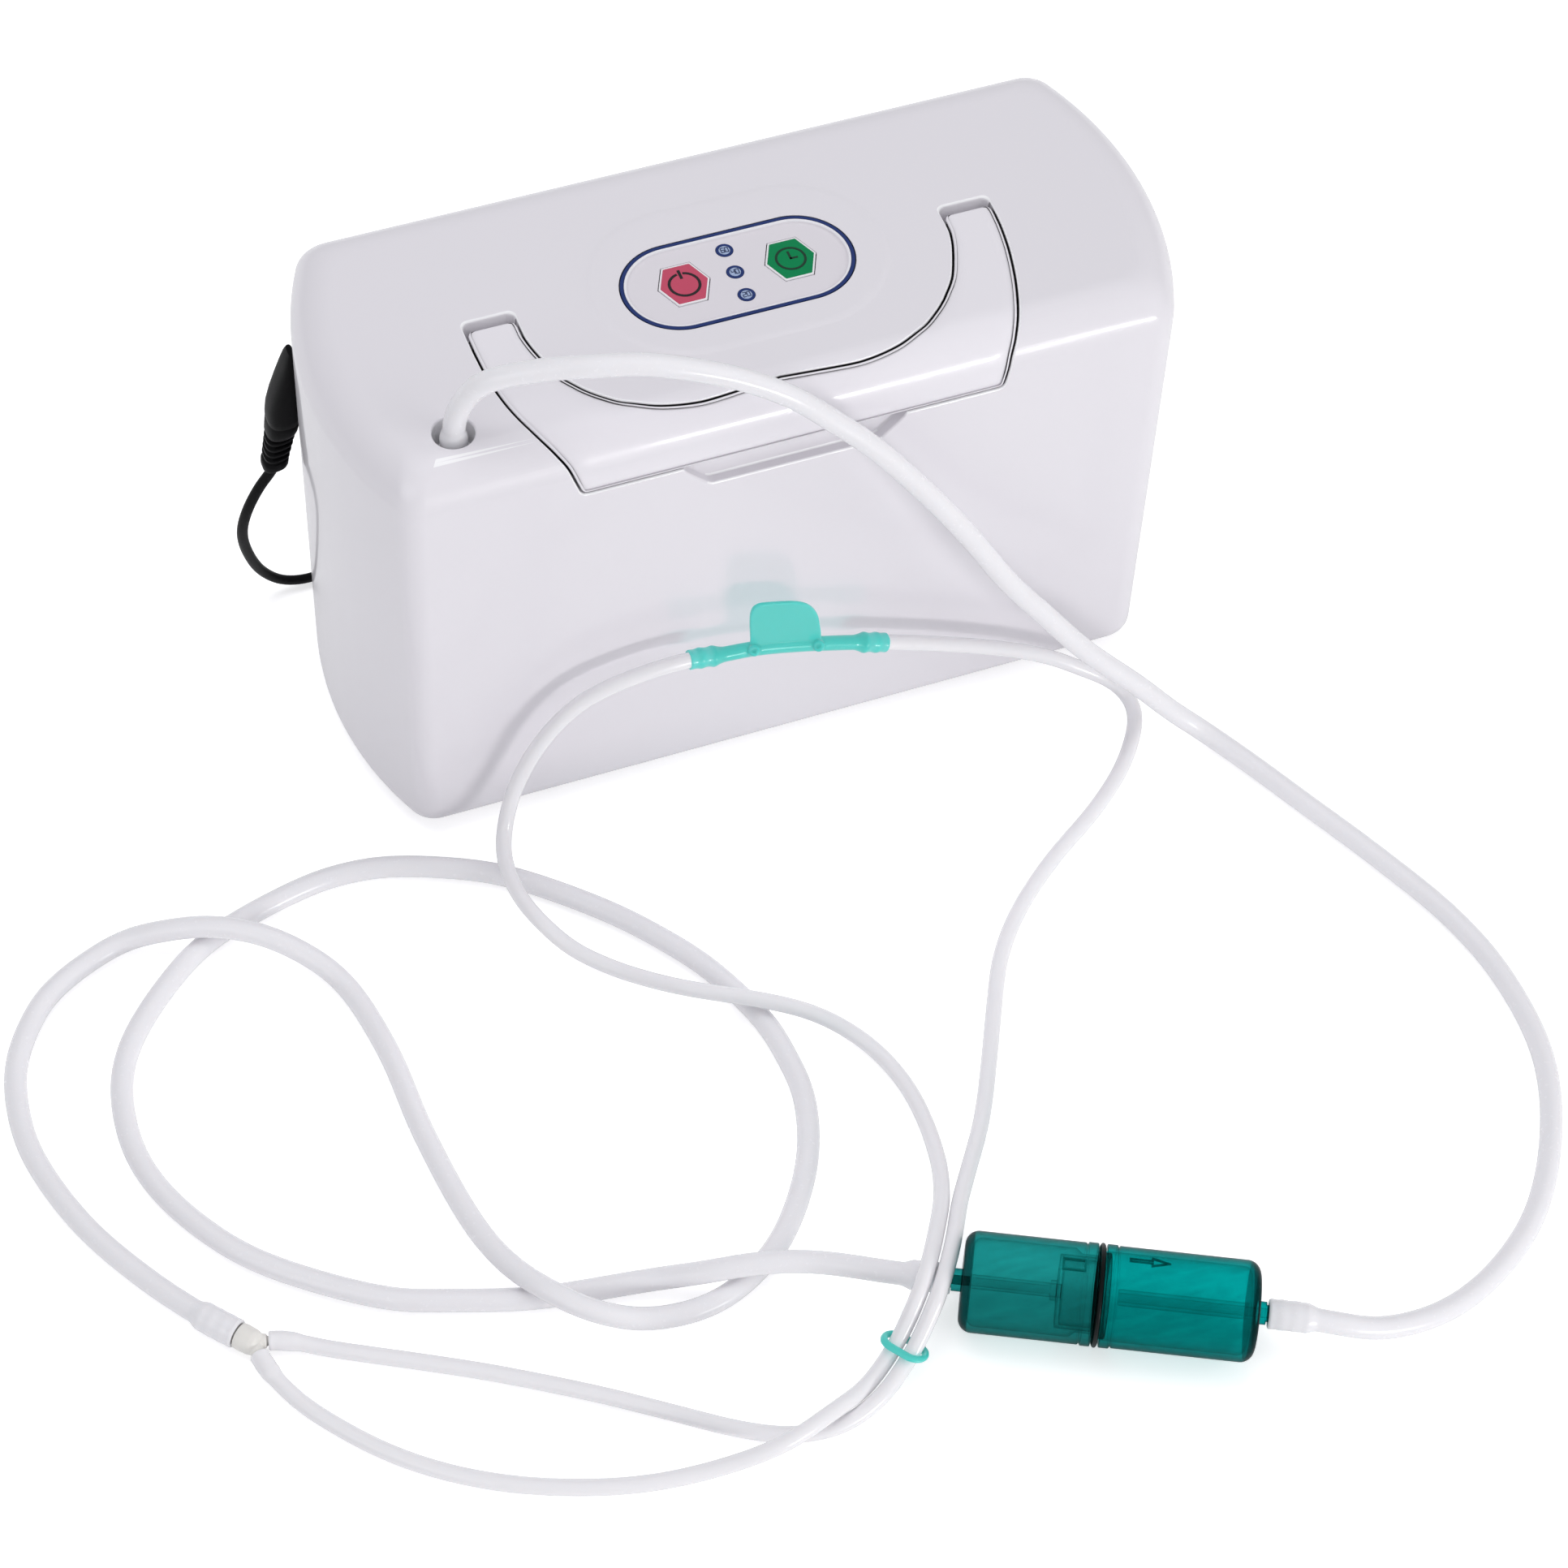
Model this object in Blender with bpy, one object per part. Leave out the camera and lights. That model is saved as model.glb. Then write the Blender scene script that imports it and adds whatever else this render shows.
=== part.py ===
# Portable oxygen concentrator with flip-up carry handle, DC lead and a
# delivery set: outlet hose, in-line teal bottle, supply hose, Y piece,
# cannula tubes, slider and nasal piece.
# Frame: origin at the centre of the footprint on the table plane, front
# face towards -Y, +X to the right, +Z up.  Constants below are millimetres.
import math

import bpy
import bmesh
import numpy as np
from mathutils import Matrix, Vector

MM = 0.001

# ---------------------------------------------------------------- dimensions
BODY_W = 190.0          # straight front width
BODY_D = 87.4           # front to back
BODY_H = 129.0          # table to top
END_BULGE = 11.0        # how far the end faces bow outwards
R_CORNER = 7.0          # vertical edges
R_TOP = 10.6            # top edge
R_BOTTOM = 6.0          # bottom edge
WALL = 2.5
Z_BODY = 1.6            # underside of casing above table
HD = BODY_D / 2.0

HANDLE_T = 6.0          # handle thickness
HANDLE_GAP = 0.5
HANDLE_GAP_OUT = 0.85   # wider seam along the outer edge of the band
HINGE_Y = -3.4          # handle pivot
HINGE_Z = BODY_H - 3.0
NOSE_R = 3.0
HANDLE_OUT = [(65.75, 3.4), (65.5, 9), (64.6, 17), (62.6, 26), (59.55, 35),
              (56.55, 41.5), (54.55, 45.9), (53.3, 51), (52.4, 54.6), (46, 55),
              (38, 55), (29, 55), (20, 55), (10, 55), (0, 55)]
HANDLE_IN = [(53.9, 3.4), (53.7, 7), (52.4, 12.5), (49.6, 20), (46.1, 25.1),
             (44.0, 27.6), (41.6, 29.9), (38.3, 32.6), (34.7, 34.5), (30.6, 36.3),
             (26.3, 37.4), (21.5, 38.1), (17, 38.2), (8, 37.6), (0, 37)]
# the U sits a little to the left, most of all half way along its arms
HANDLE_LEAN = [(0, 1.2), (9, 1.4), (17, 1.85), (26, 2.3), (35, 2.5), (38, 2.3),
               (41.5, 1.75), (46, 1.45), (51, 0.95), (55, 0.5)]
ARM_SHIFT = -1.3        # of both arm ends, their pins and reliefs

PANEL_C = (-0.5, -2.8)
PANEL_L, PANEL_W = 57.4, 27.6
KEY_POWER = (-13.7, -2.0)
KEY_SET = (13.0, -2.2)
KEY_SIZE = 12.8
KEY_TRAVEL = 0.6
LEDS = [(-0.9, 5.5), (-0.9, -2.0), (-0.9, -9.8)]
LED_R = 2.1

OUTLET = (-79.4, -29.6)
OUTLET_R = 4.95
HOSE_R, HOSE_IR = 2.7, 1.8
CUFF_R, CUFF_IR = 3.5, 2.75
TUBE_R, TUBE_IR = 1.95, 1.15

BOTTLE_A = (-20.0, -213.4)
BOTTLE_B = (40.7, -243.7)
BOTTLE_Z = 11.9
BOTTLE_R = 11.7
BOTTLE_L = 67.8

NASAL = [(-29.3, 52.8), (-25.5, 52.3), (-21.8, 51.6), (-12, 50.4), (-3.6, 48.3),
         (5, 45.6), (14.1, 42.4), (18.5, 40.7), (22.7, 39.0)]
NASAL_Y = -52.0

OUTLET_PATH = [
    (-79.4, -29.6, 121), (-79.4, -29.6, 128), (-79, -29.7, 133.5), (-77, -30.5, 139.5),
    (-73.2, -32.3, 145.9), (-60.6, -37.1, 150.8), (-50, -41.3, 152.6), (-39.1, -43.5, 151.9),
    (-27.8, -45.8, 148.6), (-16.5, -47.9, 143.6), (-4.7, -50.6, 136.2), (5.5, -52.5, 126),
    (13, -54.5, 118.5), (25, -57.5, 103), (37.5, -61, 84.5), (49, -64, 65),
    (59, -67, 51.5), (69, -69.5, 38), (84, -73.5, 22), (93, -76, 11.5),
    (100.5, -79.5, 4.8), (108, -91, 3), (115.5, -106.5, 3), (127, -130.5, 3),
    (136, -152.5, 3), (140, -172, 3), (139, -196.5, 3), (130.5, -218, 3),
    (116.5, -237, 3), (100, -248.5, 3), (83.5, -254.5, 5), (67, -255, 8),
    (57, -251.9, 11), (51, -248.9, 11.9), (42.9, -244.8, 11.9)]
SUPPLY_PATH = [
    (-22.2, -212.3, 11.9), (-27.5, -209.65, 11.9), (-33.1, -206.6, 11.6), (-49.5, -196, 9),
    (-62.5, -192, 9), (-73.5, -189.5, 7.5), (-85.5, -185, 3.5), (-112, -180.5, 3),
    (-129.5, -175, 3), (-143.5, -169.5, 3), (-168.5, -150.5, 3), (-178.5, -137.5, 3),
    (-185.5, -123, 3), (-188, -110, 3), (-186, -93, 3), (-180, -81, 3),
    (-164, -65, 3), (-152.5, -58, 3), (-127.5, -51, 3), (-117, -50.5, 3),
    (-107, -52, 3), (-86.5, -60.5, 3), (-77, -67, 3), (-60.5, -82.5, 3),
    (-51.5, -93.5, 3), (-43, -106.5, 3), (-35.5, -125.5, 3), (-34, -136.5, 3),
    (-34, -149, 3), (-39.5, -166, 3), (-51.5, -183, 3), (-62, -191, 3),
    (-74, -195.5, 3), (-89, -195, 4), (-100.5, -191.5, 8), (-109, -183.5, 9),
    (-115, -173.5, 7.5), (-119, -158.5, 4), (-122.5, -129.5, 3), (-123.5, -104, 3),
    (-127.5, -82.5, 3), (-132.5, -74.5, 5), (-142.5, -66, 8.5), (-154, -59.5, 9),
    (-165.5, -55.5, 7), (-175.5, -53, 3.5), (-194.5, -61, 3), (-202.5, -69.5, 3),
    (-208.5, -80.5, 3), (-211, -94.5, 3), (-210.5, -106, 3), (-204.5, -127, 3),
    (-194.5, -146, 3), (-185.1, -159.9, 3.5), (-178.8, -167.35, 3.42)]
PAIR = [(-47.8, -230.0, 4.3), (-39.6, -224.7, 6.5), (-34.6, -221.0, 10.5),
        (-29.3, -216.4, 17), (-23.7, -208.8, 18), (-18.9, -200.8, 15),
        (-14.0, -192.0, 10.5), (-8.6, -181.4, 5.2)]
PAIR_HALF = 2.12


def pair_side(sign):
    """One cannula tube of the pair that runs side by side over the hose."""
    out = []
    for i, c in enumerate(PAIR):
        a = PAIR[max(i - 1, 0)]
        b = PAIR[min(i + 1, len(PAIR) - 1)]
        dx, dy = b[0] - a[0], b[1] - a[1]
        d = math.hypot(dx, dy)
        k = sign * (PAIR_HALF + (1.2 if i == len(PAIR) - 1 else 0.0))
        out.append((c[0] + k * dy / d, c[1] - k * dx / d, c[2]))
    return out


TUBE_A_PATH = [
    (-172.6, -171.2, 3.2), (-168.2, -172.45, 3), (-162, -176, 2.1), (-153, -181, 2.1),
    (-141, -187.5, 2.1), (-128.5, -194.5, 2.1), (-115.5, -202.5, 2.1), (-104, -210, 2.1),
    (-88.5, -221, 2.1), (-80, -227, 2.1), (-69, -232.7, 2.1), (-57, -234.4, 2.1)] + pair_side(1) + [
    (4, -168.5, 2.2), (12.5, -152.5, 2.1), (19, -139.5, 2.1), (26, -126.5, 2.1),
    (34.5, -116, 2.1), (44.5, -107, 2.1), (54, -100, 2.1), (62.5, -94.5, 2.1),
    (71, -88, 2.1), (78.5, -81, 2.2), (84, -74, 3), (87, -68.5, 3.5),
    (87.5, -62.5, 4), (84.5, -58, 6), (77.5, -55, 10), (70, -53, 15),
    (59, -52, 21.5), (47, -52, 28), (36, -52, 33.3), (26, -52, 37.7), (18.4, -52, 40.8)]
TUBE_B_PATH = [
    (-175.6, -173.8, 3.2), (-174.75, -178.4, 2.95), (-170, -188.5, 2.1), (-165.5, -195, 2.1),
    (-159, -203, 2.1), (-152, -210, 2.1), (-143, -217, 2.1), (-132, -223.5, 2.1),
    (-120.5, -228.5, 2.1), (-108, -232.5, 2.1), (-97.5, -234.5, 2.1), (-86, -236, 3.5),
    (-76.5, -237, 6), (-69, -236.3, 7), (-62, -234, 7), (-55, -231.2, 6)] + pair_side(-1) + [
    (-9.6, -171.5, 2.3), (-9, -164.5, 2.1), (-9.5, -154, 2.1),
    (-12.5, -143, 2.3), (-17.5, -135, 3.5), (-24.5, -129.5, 6.5), (-33.5, -124.5, 8.6),
    (-50.5, -114, 7.8), (-58, -106.5, 5), (-65.5, -98.5, 3.2), (-73, -91.5, 5.2),
    (-77.5, -85, 8), (-80.5, -76.5, 8.8), (-81, -66, 8.8), (-79.5, -58.5, 9),
    (-76, -53.5, 17), (-72, -52, 26.5), (-67.5, -52, 35.5), (-61, -52, 44),
    (-54, -52, 49), (-45.5, -52, 51.5), (-38, -52, 52.6), (-31, -52, 52.9), (-25.0, -52, 52.2)]
LEAD_PATH = [(-106.8, 35, 63.2), (-107.15, 35, 60.0), (-108.4, 35.1, 57.2), (-111, 35.3, 53.5), (-115.0, 36.0, 44.5),
             (-116.6, 38.0, 34), (-114.5, 41.5, 20), (-110.5, 44.3, 9),
             (-105.5, 45.0, 3.4), (-99, 44.6, 2.2), (-90, 46.5, 2.2),
             (-75, 52.5, 2.2), (-58, 56.6, 3.0), (-51, 57.1, 4.5), (-43.5, 57.5, 4.7)]

# ------------------------------------------------------------------- helpers
for _ob in list(bpy.data.objects):
    bpy.data.objects.remove(_ob, do_unlink=True)


def make_mat(name, rgb, rough=0.4, metal=0.0, alpha=1.0):
    m = bpy.data.materials.new(name)
    m.use_nodes = True
    b = m.node_tree.nodes["Principled BSDF"]
    b.inputs["Base Color"].default_value = (rgb[0], rgb[1], rgb[2], 1.0)
    b.inputs["Roughness"].default_value = rough
    b.inputs["Metallic"].default_value = metal
    b.inputs["Alpha"].default_value = alpha
    m.diffuse_color = (rgb[0], rgb[1], rgb[2], alpha)
    return m


def new_obj(name, verts, faces, rgb=(0.8, 0.8, 0.8), rough=0.4, metal=0.0,
            alpha=1.0, smooth=True):
    me = bpy.data.meshes.new(name)
    me.from_pydata([tuple(float(c) * MM for c in v) for v in verts], [], faces)
    me.validate()
    bm = bmesh.new()
    bm.from_mesh(me)
    bmesh.ops.recalc_face_normals(bm, faces=bm.faces)
    bm.to_mesh(me)
    bm.free()
    ob = bpy.data.objects.new(name, me)
    bpy.context.scene.collection.objects.link(ob)
    if smooth:
        for p in me.polygons:
            p.use_smooth = True
    me.materials.append(make_mat("mat_" + name, rgb, rough, metal, alpha))
    return ob


def to_tris(me):
    bm = bmesh.new()
    bm.from_mesh(me)
    bmesh.ops.triangulate(bm, faces=bm.faces, ngon_method="EAR_CLIP")
    bm.to_mesh(me)
    bm.free()


def boolean(a, others, op="DIFFERENCE"):
    mat = a.data.materials[0]
    to_tris(a.data)
    for b in others:
        to_tris(b.data)
        m = a.modifiers.new("cut", "BOOLEAN")
        m.operation = op
        m.solver = "EXACT"
        m.object = b
        bpy.context.view_layer.update()
        dg = bpy.context.evaluated_depsgraph_get()
        me = bpy.data.meshes.new_from_object(a.evaluated_get(dg))
        a.modifiers.clear()
        to_tris(me)
        a.data = me
        bpy.data.objects.remove(b, do_unlink=True)
    a.data.materials.clear()
    a.data.materials.append(mat)
    for p in a.data.polygons:
        p.material_index = 0
        p.use_smooth = True
    return a


def clean(a, dist=0.004):
    bm = bmesh.new()
    bm.from_mesh(a.data)
    bmesh.ops.remove_doubles(bm, verts=bm.verts, dist=dist * MM)
    bmesh.ops.dissolve_degenerate(bm, dist=dist * MM, edges=bm.edges)
    bm.to_mesh(a.data)
    bm.free()
    return a


def ring_faces(base_a, base_b, n, closed=True):
    out = []
    for i in range(n if closed else n - 1):
        j = (i + 1) % n
        out.append((base_a + i, base_a + j, base_b + j, base_b + i))
    return out


def loft(name, rings, **kw):
    n = len(rings[0])
    verts = [v for r in rings for v in r]
    faces = []
    for k in range(len(rings) - 1):
        faces += ring_faces(k * n, (k + 1) * n, n)
    faces.append(tuple(range(n)))
    faces.append(tuple(range((len(rings) - 1) * n, len(rings) * n)))
    return new_obj(name, verts, faces, **kw)


def prism(name, outline, z0, z1, **kw):
    return loft(name, [[(x, y, z0) for x, y in outline],
                       [(x, y, z1) for x, y in outline]], **kw)


def frame_of(axis):
    w = Vector(axis).normalized()
    up = Vector((0, 0, 1)) if abs(w.z) < 0.9 else Vector((1, 0, 0))
    u = up.cross(w).normalized()
    v = w.cross(u)
    return u, v, w


def revolve(name, prof, origin, axis, n=16, hollow=True, **kw):
    """prof: list of (a, r); a runs along axis.  hollow: closed loop profile."""
    u, v, w = frame_of(axis)
    o = Vector(origin)
    verts, rows = [], []
    for a, r in prof:
        if r <= 1e-9:
            rows.append([len(verts)])
            verts.append(o + w * a)
        else:
            row = []
            for i in range(n):
                t = 2 * math.pi * i / n
                row.append(len(verts))
                verts.append(o + w * a + (u * math.cos(t) + v * math.sin(t)) * r)
            rows.append(row)
    faces = []
    m = len(rows)
    for k in range(m if hollow else m - 1):
        A, B = rows[k], rows[(k + 1) % m]
        for i in range(n):
            j = (i + 1) % n
            if len(A) == 1 and len(B) == 1:
                continue
            if len(A) == 1:
                faces.append((A[0], B[j], B[i]))
            elif len(B) == 1:
                faces.append((A[i], A[j], B[0]))
            else:
                faces.append((A[i], A[j], B[j], B[i]))
    if not hollow:
        for R in (rows[0], rows[-1]):
            if len(R) > 1:
                faces.append(tuple(R))
    return new_obj(name, verts, faces, **kw)


def cyl(name, origin, axis, r, a0, a1, n=16, **kw):
    return revolve(name, [(a0, r), (a1, r)], origin, axis, n, hollow=False, **kw)


def box(name, lo, hi, **kw):
    x0, y0, z0 = lo
    x1, y1, z1 = hi
    kw.setdefault("smooth", False)
    return prism(name, [(x0, y0), (x1, y0), (x1, y1), (x0, y1)], z0, z1, **kw)


def rbox_y(name, cx, cz, w, h, r, y0, y1, n=4, **kw):
    pts = rrect(cx, cz, w, h, r, n)
    return loft(name, [[(x, y0, z) for x, z in pts], [(x, y1, z) for x, z in pts]], **kw)


def rrect(cx, cy, w, h, r, n=4):
    pts = []
    for sx, sy, a0 in ((1, -1, -90), (1, 1, 0), (-1, 1, 90), (-1, -1, 180)):
        for i in range(n + 1):
            a = math.radians(a0 + 90.0 * i / n)
            pts.append((cx + sx * (w / 2 - r) + r * math.cos(a),
                        cy + sy * (h / 2 - r) + r * math.sin(a)))
    return pts


def stadium(cx, cy, length, width, n=8):
    r = width / 2
    return rrect(cx, cy, length, width, r - 1e-4, n)


def spline(points, step):
    P = np.array(points, float)
    d = np.linalg.norm(np.diff(P, axis=0), axis=1) ** 0.5
    t = np.concatenate([[0], np.cumsum(d)])
    m = np.zeros_like(P)
    for i in range(len(P)):
        if i == 0:
            m[i] = (P[1] - P[0]) / (t[1] - t[0])
        elif i == len(P) - 1:
            m[i] = (P[-1] - P[-2]) / (t[-1] - t[-2])
        else:
            a = (P[i] - P[i - 1]) / (t[i] - t[i - 1])
            b = (P[i + 1] - P[i]) / (t[i + 1] - t[i])
            w = (t[i + 1] - t[i]) / (t[i + 1] - t[i - 1])
            m[i] = a * w + b * (1 - w)
    fine = []
    for i in range(len(P) - 1):
        h = t[i + 1] - t[i]
        for k in range(12):
            s = k / 12.0
            fine.append((2*s**3-3*s**2+1)*P[i] + (s**3-2*s**2+s)*h*m[i]
                        + (-2*s**3+3*s**2)*P[i+1] + (s**3-s**2)*h*m[i+1])
    fine.append(P[-1])
    F = np.array(fine)
    L = np.concatenate([[0], np.cumsum(np.linalg.norm(np.diff(F, axis=0), axis=1))])
    n = max(2, int(round(L[-1] / step)))
    s = np.linspace(0, L[-1], n + 1)
    return np.stack([np.interp(s, L, F[:, k]) for k in range(3)], 1), s


def frames(P):
    T = np.gradient(P, axis=0)
    T /= np.linalg.norm(T, axis=1)[:, None]
    up = np.array([0, 0, 1.0]) if abs(T[0][2]) < 0.9 else np.array([0, 1.0, 0])
    N = [np.cross(T[0], up)]
    N[0] /= np.linalg.norm(N[0])
    for i in range(1, len(P)):
        v = N[-1] - T[i] * np.dot(N[-1], T[i])
        N.append(v / np.linalg.norm(v))
    N = np.array(N)
    return T, N, np.cross(T, N)


def sweep(name, P, radii, n=8, inner=None, squash=1.0, **kw):
    T, N, B = frames(P)
    verts, faces = [], []
    k = len(P)

    def add(R):
        for i in range(k):
            for j in range(n):
                a = 2 * math.pi * (j + 0.5) / n
                verts.append(P[i] + R[i] * (math.cos(a) * N[i] + math.sin(a) * squash * B[i]))
    add(radii)
    for i in range(k - 1):
        faces.extend(ring_faces(i * n, (i + 1) * n, n))
    if inner is None:
        faces.append(tuple(range(n)))
        faces.append(tuple(range((k - 1) * n, k * n)))
    else:
        o = k * n
        add(inner)
        for i in range(k - 1):
            faces.extend([tuple(reversed(f)) for f in ring_faces(o + i * n, o + (i + 1) * n, n)])
        faces.extend(ring_faces(0, o, n))
        faces.extend([tuple(reversed(f)) for f in ring_faces((k - 1) * n, o + (k - 1) * n, n)])
    return new_obj(name, verts, faces, **kw)


def hose(name, path, step, r, ir, cuff0=None, cuff1=None, n=6, **kw):
    """Hollow hose; cuffN = (length, outer, inner) stretched over a barb."""
    P, s = spline(path, step)
    extra = []
    for c, end in ((cuff0, 0), (cuff1, 1)):
        if c:
            for d in (c[0], c[0] + 2.2):
                extra.append(d if end == 0 else s[-1] - d)
    if extra:
        S = np.array(sorted([q for q in s if all(abs(q - e) > step * 0.3 for e in extra)] + extra))
        if S[0] > 0:
            S = np.concatenate([[0], S])
        if S[-1] < s[-1]:
            S = np.concatenate([S, [s[-1]]])
        Pf, sf = spline(path, 1.0)
        P = np.stack([np.interp(S, sf, Pf[:, k]) for k in range(3)], 1)
        s = S
    ro = np.full(len(P), r)
    ri = np.full(len(P), ir)
    for c, end in ((cuff0, 0), (cuff1, 1)):
        if not c:
            continue
        d = s if end == 0 else s[-1] - s
        f = np.clip((c[0] + 2.2 - d) / 2.2, 0, 1)
        ro = np.maximum(ro, r + f * (c[1] - r))
        ri = np.maximum(ri, ir + f * (c[2] - ir))
    return sweep(name, P, ro, n, ri, **kw)


# ------------------------------------------------------------- casing shapes
ARC_R = (HD * HD + END_BULGE ** 2) / (2 * END_BULGE)
ARC_CX = BODY_W / 2 + END_BULGE - ARC_R


def plan(inset, rc=R_CORNER, n_end=6, n_c=3):
    """Casing outline in plan, counter-clockwise, moved inwards by inset."""
    R = ARC_R - inset
    yc = -(HD - inset) + rc
    xc = ARC_CX + math.sqrt((R - rc) ** 2 - yc ** 2)
    phi = math.atan2(yc, xc - ARC_CX)
    right = []
    for i in range(n_c + 1):
        a = -math.pi / 2 + (phi + math.pi / 2) * i / n_c
        right.append((xc + rc * math.cos(a), yc + rc * math.sin(a)))
    for i in range(1, n_end):
        a = phi - 2 * phi * i / n_end
        right.append((ARC_CX + R * math.cos(a), R * math.sin(a)))
    for i in range(n_c, -1, -1):
        a = -math.pi / 2 + (phi + math.pi / 2) * i / n_c
        right.append((xc + rc * math.cos(a), -(yc + rc * math.sin(a))))
    left = [(-x, -y) for x, y in right]
    return right + left


def surf(x, s, n):
    """Point at x, arc length s from the centre line over the rounded front
    edge, height n above the casing surface."""
    flat = HD - R_TOP
    quarter = math.pi / 2 * R_TOP
    if s <= flat:
        return (x, -s, BODY_H + n)
    if s <= flat + quarter:
        a = (s - flat) / R_TOP
        return (x, -flat - (R_TOP + n) * math.sin(a), BODY_H - R_TOP + (R_TOP + n) * math.cos(a))
    return (x, -HD - n, BODY_H - R_TOP - (s - flat - quarter))


def shift_line(pts, d):
    P = np.array(pts, float)
    T = np.gradient(P, axis=0)
    T[-1] = (-1.0, 0.0)
    T /= np.linalg.norm(T, axis=1)[:, None]
    N = np.stack([T[:, 1], -T[:, 0]], 1)
    return [(float(a), float(b)) for a, b in P + d * N]


def handle_band(out_off, in_off, m=8):
    """Rows of (x, s) across the U band, left arm end to right arm end."""
    O = shift_line(HANDLE_OUT, out_off)
    I = shift_line(HANDLE_IN, -in_off)
    O[0] = (O[0][0], HANDLE_OUT[0][1])
    I[0] = (I[0][0], HANDLE_IN[0][1])
    half = []
    for (xo, so), (xi, si) in zip(O, I):
        half.append([(xi + (xo - xi) * j / m, si + (so - si) * j / m) for j in range(m + 1)])
    dense = []
    for q, row in enumerate(half):
        dense.append(row)
        if 3 <= q <= 7:         # finer over the rounded front edge
            dense.append([((a[0] + b[0]) / 2, (a[1] + b[1]) / 2) for a, b in zip(row, half[q + 1])])
    half = dense
    full = [[(-x, s) for x, s in row] for row in half]
    full += [row for row in reversed(half[:-1])]
    ls = [s for s, d in HANDLE_LEAN]
    ld = [d for s, d in HANDLE_LEAN]
    return [[(x - float(np.interp(s, ls, ld)), s) for x, s in row] for row in full]


def band_solid(name, rows, n_top, n_bot, rear=None, nose=None, **kw):
    m = len(rows[0])
    if rear is not None:
        first = [(x, rear) for x, s in rows[0]]
        last = [(x, rear) for x, s in rows[-1]]
        rows = [first] + rows + [last]
    k = len(rows)
    verts, faces = [], []
    for n in (n_top, n_bot):
        for row in rows:
            for x, s in row:
                verts.append(surf(x, s, n))
    def vi(side, i, j):
        return side * k * m + i * m + j
    for i in range(k - 1):
        for j in range(m - 1):
            faces.append((vi(0, i, j), vi(0, i + 1, j), vi(0, i + 1, j + 1), vi(0, i, j + 1)))
            faces.append((vi(1, i, j), vi(1, i, j + 1), vi(1, i + 1, j + 1), vi(1, i + 1, j)))
        for j in (0, m - 1):
            q = (vi(0, i, j), vi(0, i + 1, j), vi(1, i + 1, j), vi(1, i, j))
            faces.append(q)
    for i in (0, k - 1):
        if nose is None:
            for j in range(m - 1):
                faces.append((vi(0, i, j), vi(0, i, j + 1), vi(1, i, j + 1), vi(1, i, j)))
        else:
            yc, zc, r, steps = nose
            cols = []
            for j in range(m):
                x = rows[i][j][0]
                col = [vi(0, i, j)]
                for q in range(1, steps):
                    a = math.pi / 2 - math.pi * q / steps
                    col.append(len(verts))
                    verts.append((x, yc + r * math.cos(a), zc + r * math.sin(a)))
                col.append(vi(1, i, j))
                cols.append(col)
            for j in range(m - 1):
                for q in range(steps):
                    faces.append((cols[j][q], cols[j + 1][q], cols[j + 1][q + 1], cols[j][q + 1]))
            for j in (0, m - 1):
                faces.append(tuple(cols[j]))
    return new_obj(name, verts, faces, **kw)


def hexagon(cx, cy, size, flat=None):
    """Key outline: points left and right, flatter than regular, corner-cut."""
    a = size / 2
    b = (flat or size) / 2
    t = 0.275 * size
    return [(cx + a, cy), (cx + t, cy + b), (cx - t, cy + b), (cx - a, cy),
            (cx - t, cy - b), (cx + t, cy - b)]


WHITE = dict(rgb=(0.83, 0.83, 0.86), rough=0.32)
TOP = BODY_H

# ---------------------------------------------------------------- main casing
rings = []
for a in (0, 30, 60, 90):
    t = math.radians(a)
    rings.append([(x, y, Z_BODY + R_BOTTOM - R_BOTTOM * math.cos(t))
                  for x, y in plan(R_BOTTOM * (1 - math.sin(t)))])
for a in (0, 18, 36, 54, 72, 90):
    t = math.radians(a)
    rings.append([(x, y, TOP - R_TOP + R_TOP * math.sin(t))
                  for x, y in plan(R_TOP * (1 - math.cos(t)))])
outer = loft("main_casing", rings, **WHITE)
rin = []
ri_b, ri_t = R_BOTTOM - WALL, R_TOP - WALL
rin.append([(x, y, Z_BODY - 1.0) for x, y in plan(8.8, 5)])
rin.append([(x, y, Z_BODY + WALL) for x, y in plan(8.8, 5)])
rin.append([(x, y, Z_BODY + WALL + 0.01) for x, y in plan(R_BOTTOM, 4.5)])
for a in (45, 90):
    t = math.radians(a)
    rin.append([(x, y, Z_BODY + R_BOTTOM - ri_b * math.cos(t))
                for x, y in plan(WALL + ri_b * (1 - math.sin(t)), 4.5)])
for a in (0, 30, 60, 90):
    t = math.radians(a)
    rin.append([(x, y, TOP - R_TOP + ri_t * math.sin(t))
                for x, y in plan(WALL + ri_t * (1 - math.cos(t)), 4.5)])
cavity = loft("cavity", rin)
casing = boolean(outer, [cavity])

tub = band_solid("tub", handle_band(3.2, 3.2, 6), -1.4, -9.2, rear=-6.5)
n_end = (-math.cos(math.asin(31.0 / ARC_R)), 31.0 / ARC_R)
ex = -ARC_CX + ARC_R * n_end[0]
ey = 31.0


def end_frame(t0, t1, d0, d1, z0, z1, name, stad=False):
    """Block on the left end: t across, d depth along the inward normal."""
    tx, ty = n_end[1], -n_end[0]
    if stad:
        prof = rrect(0, (z0 + z1) / 2, t1 - t0, z1 - z0, (t1 - t0) / 2 - 0.01, 5)
        prof = [(t + (t0 + t1) / 2, z) for t, z in prof]
    else:
        prof = [(t0, z0), (t1, z0), (t1, z1), (t0, z1)]
    rr = []
    for d in (d0, d1):
        rr.append([(ex - n_end[0] * d + tx * t, ey - n_end[1] * d + ty * t, z) for t, z in prof])
    return loft(name, rr)


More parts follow.
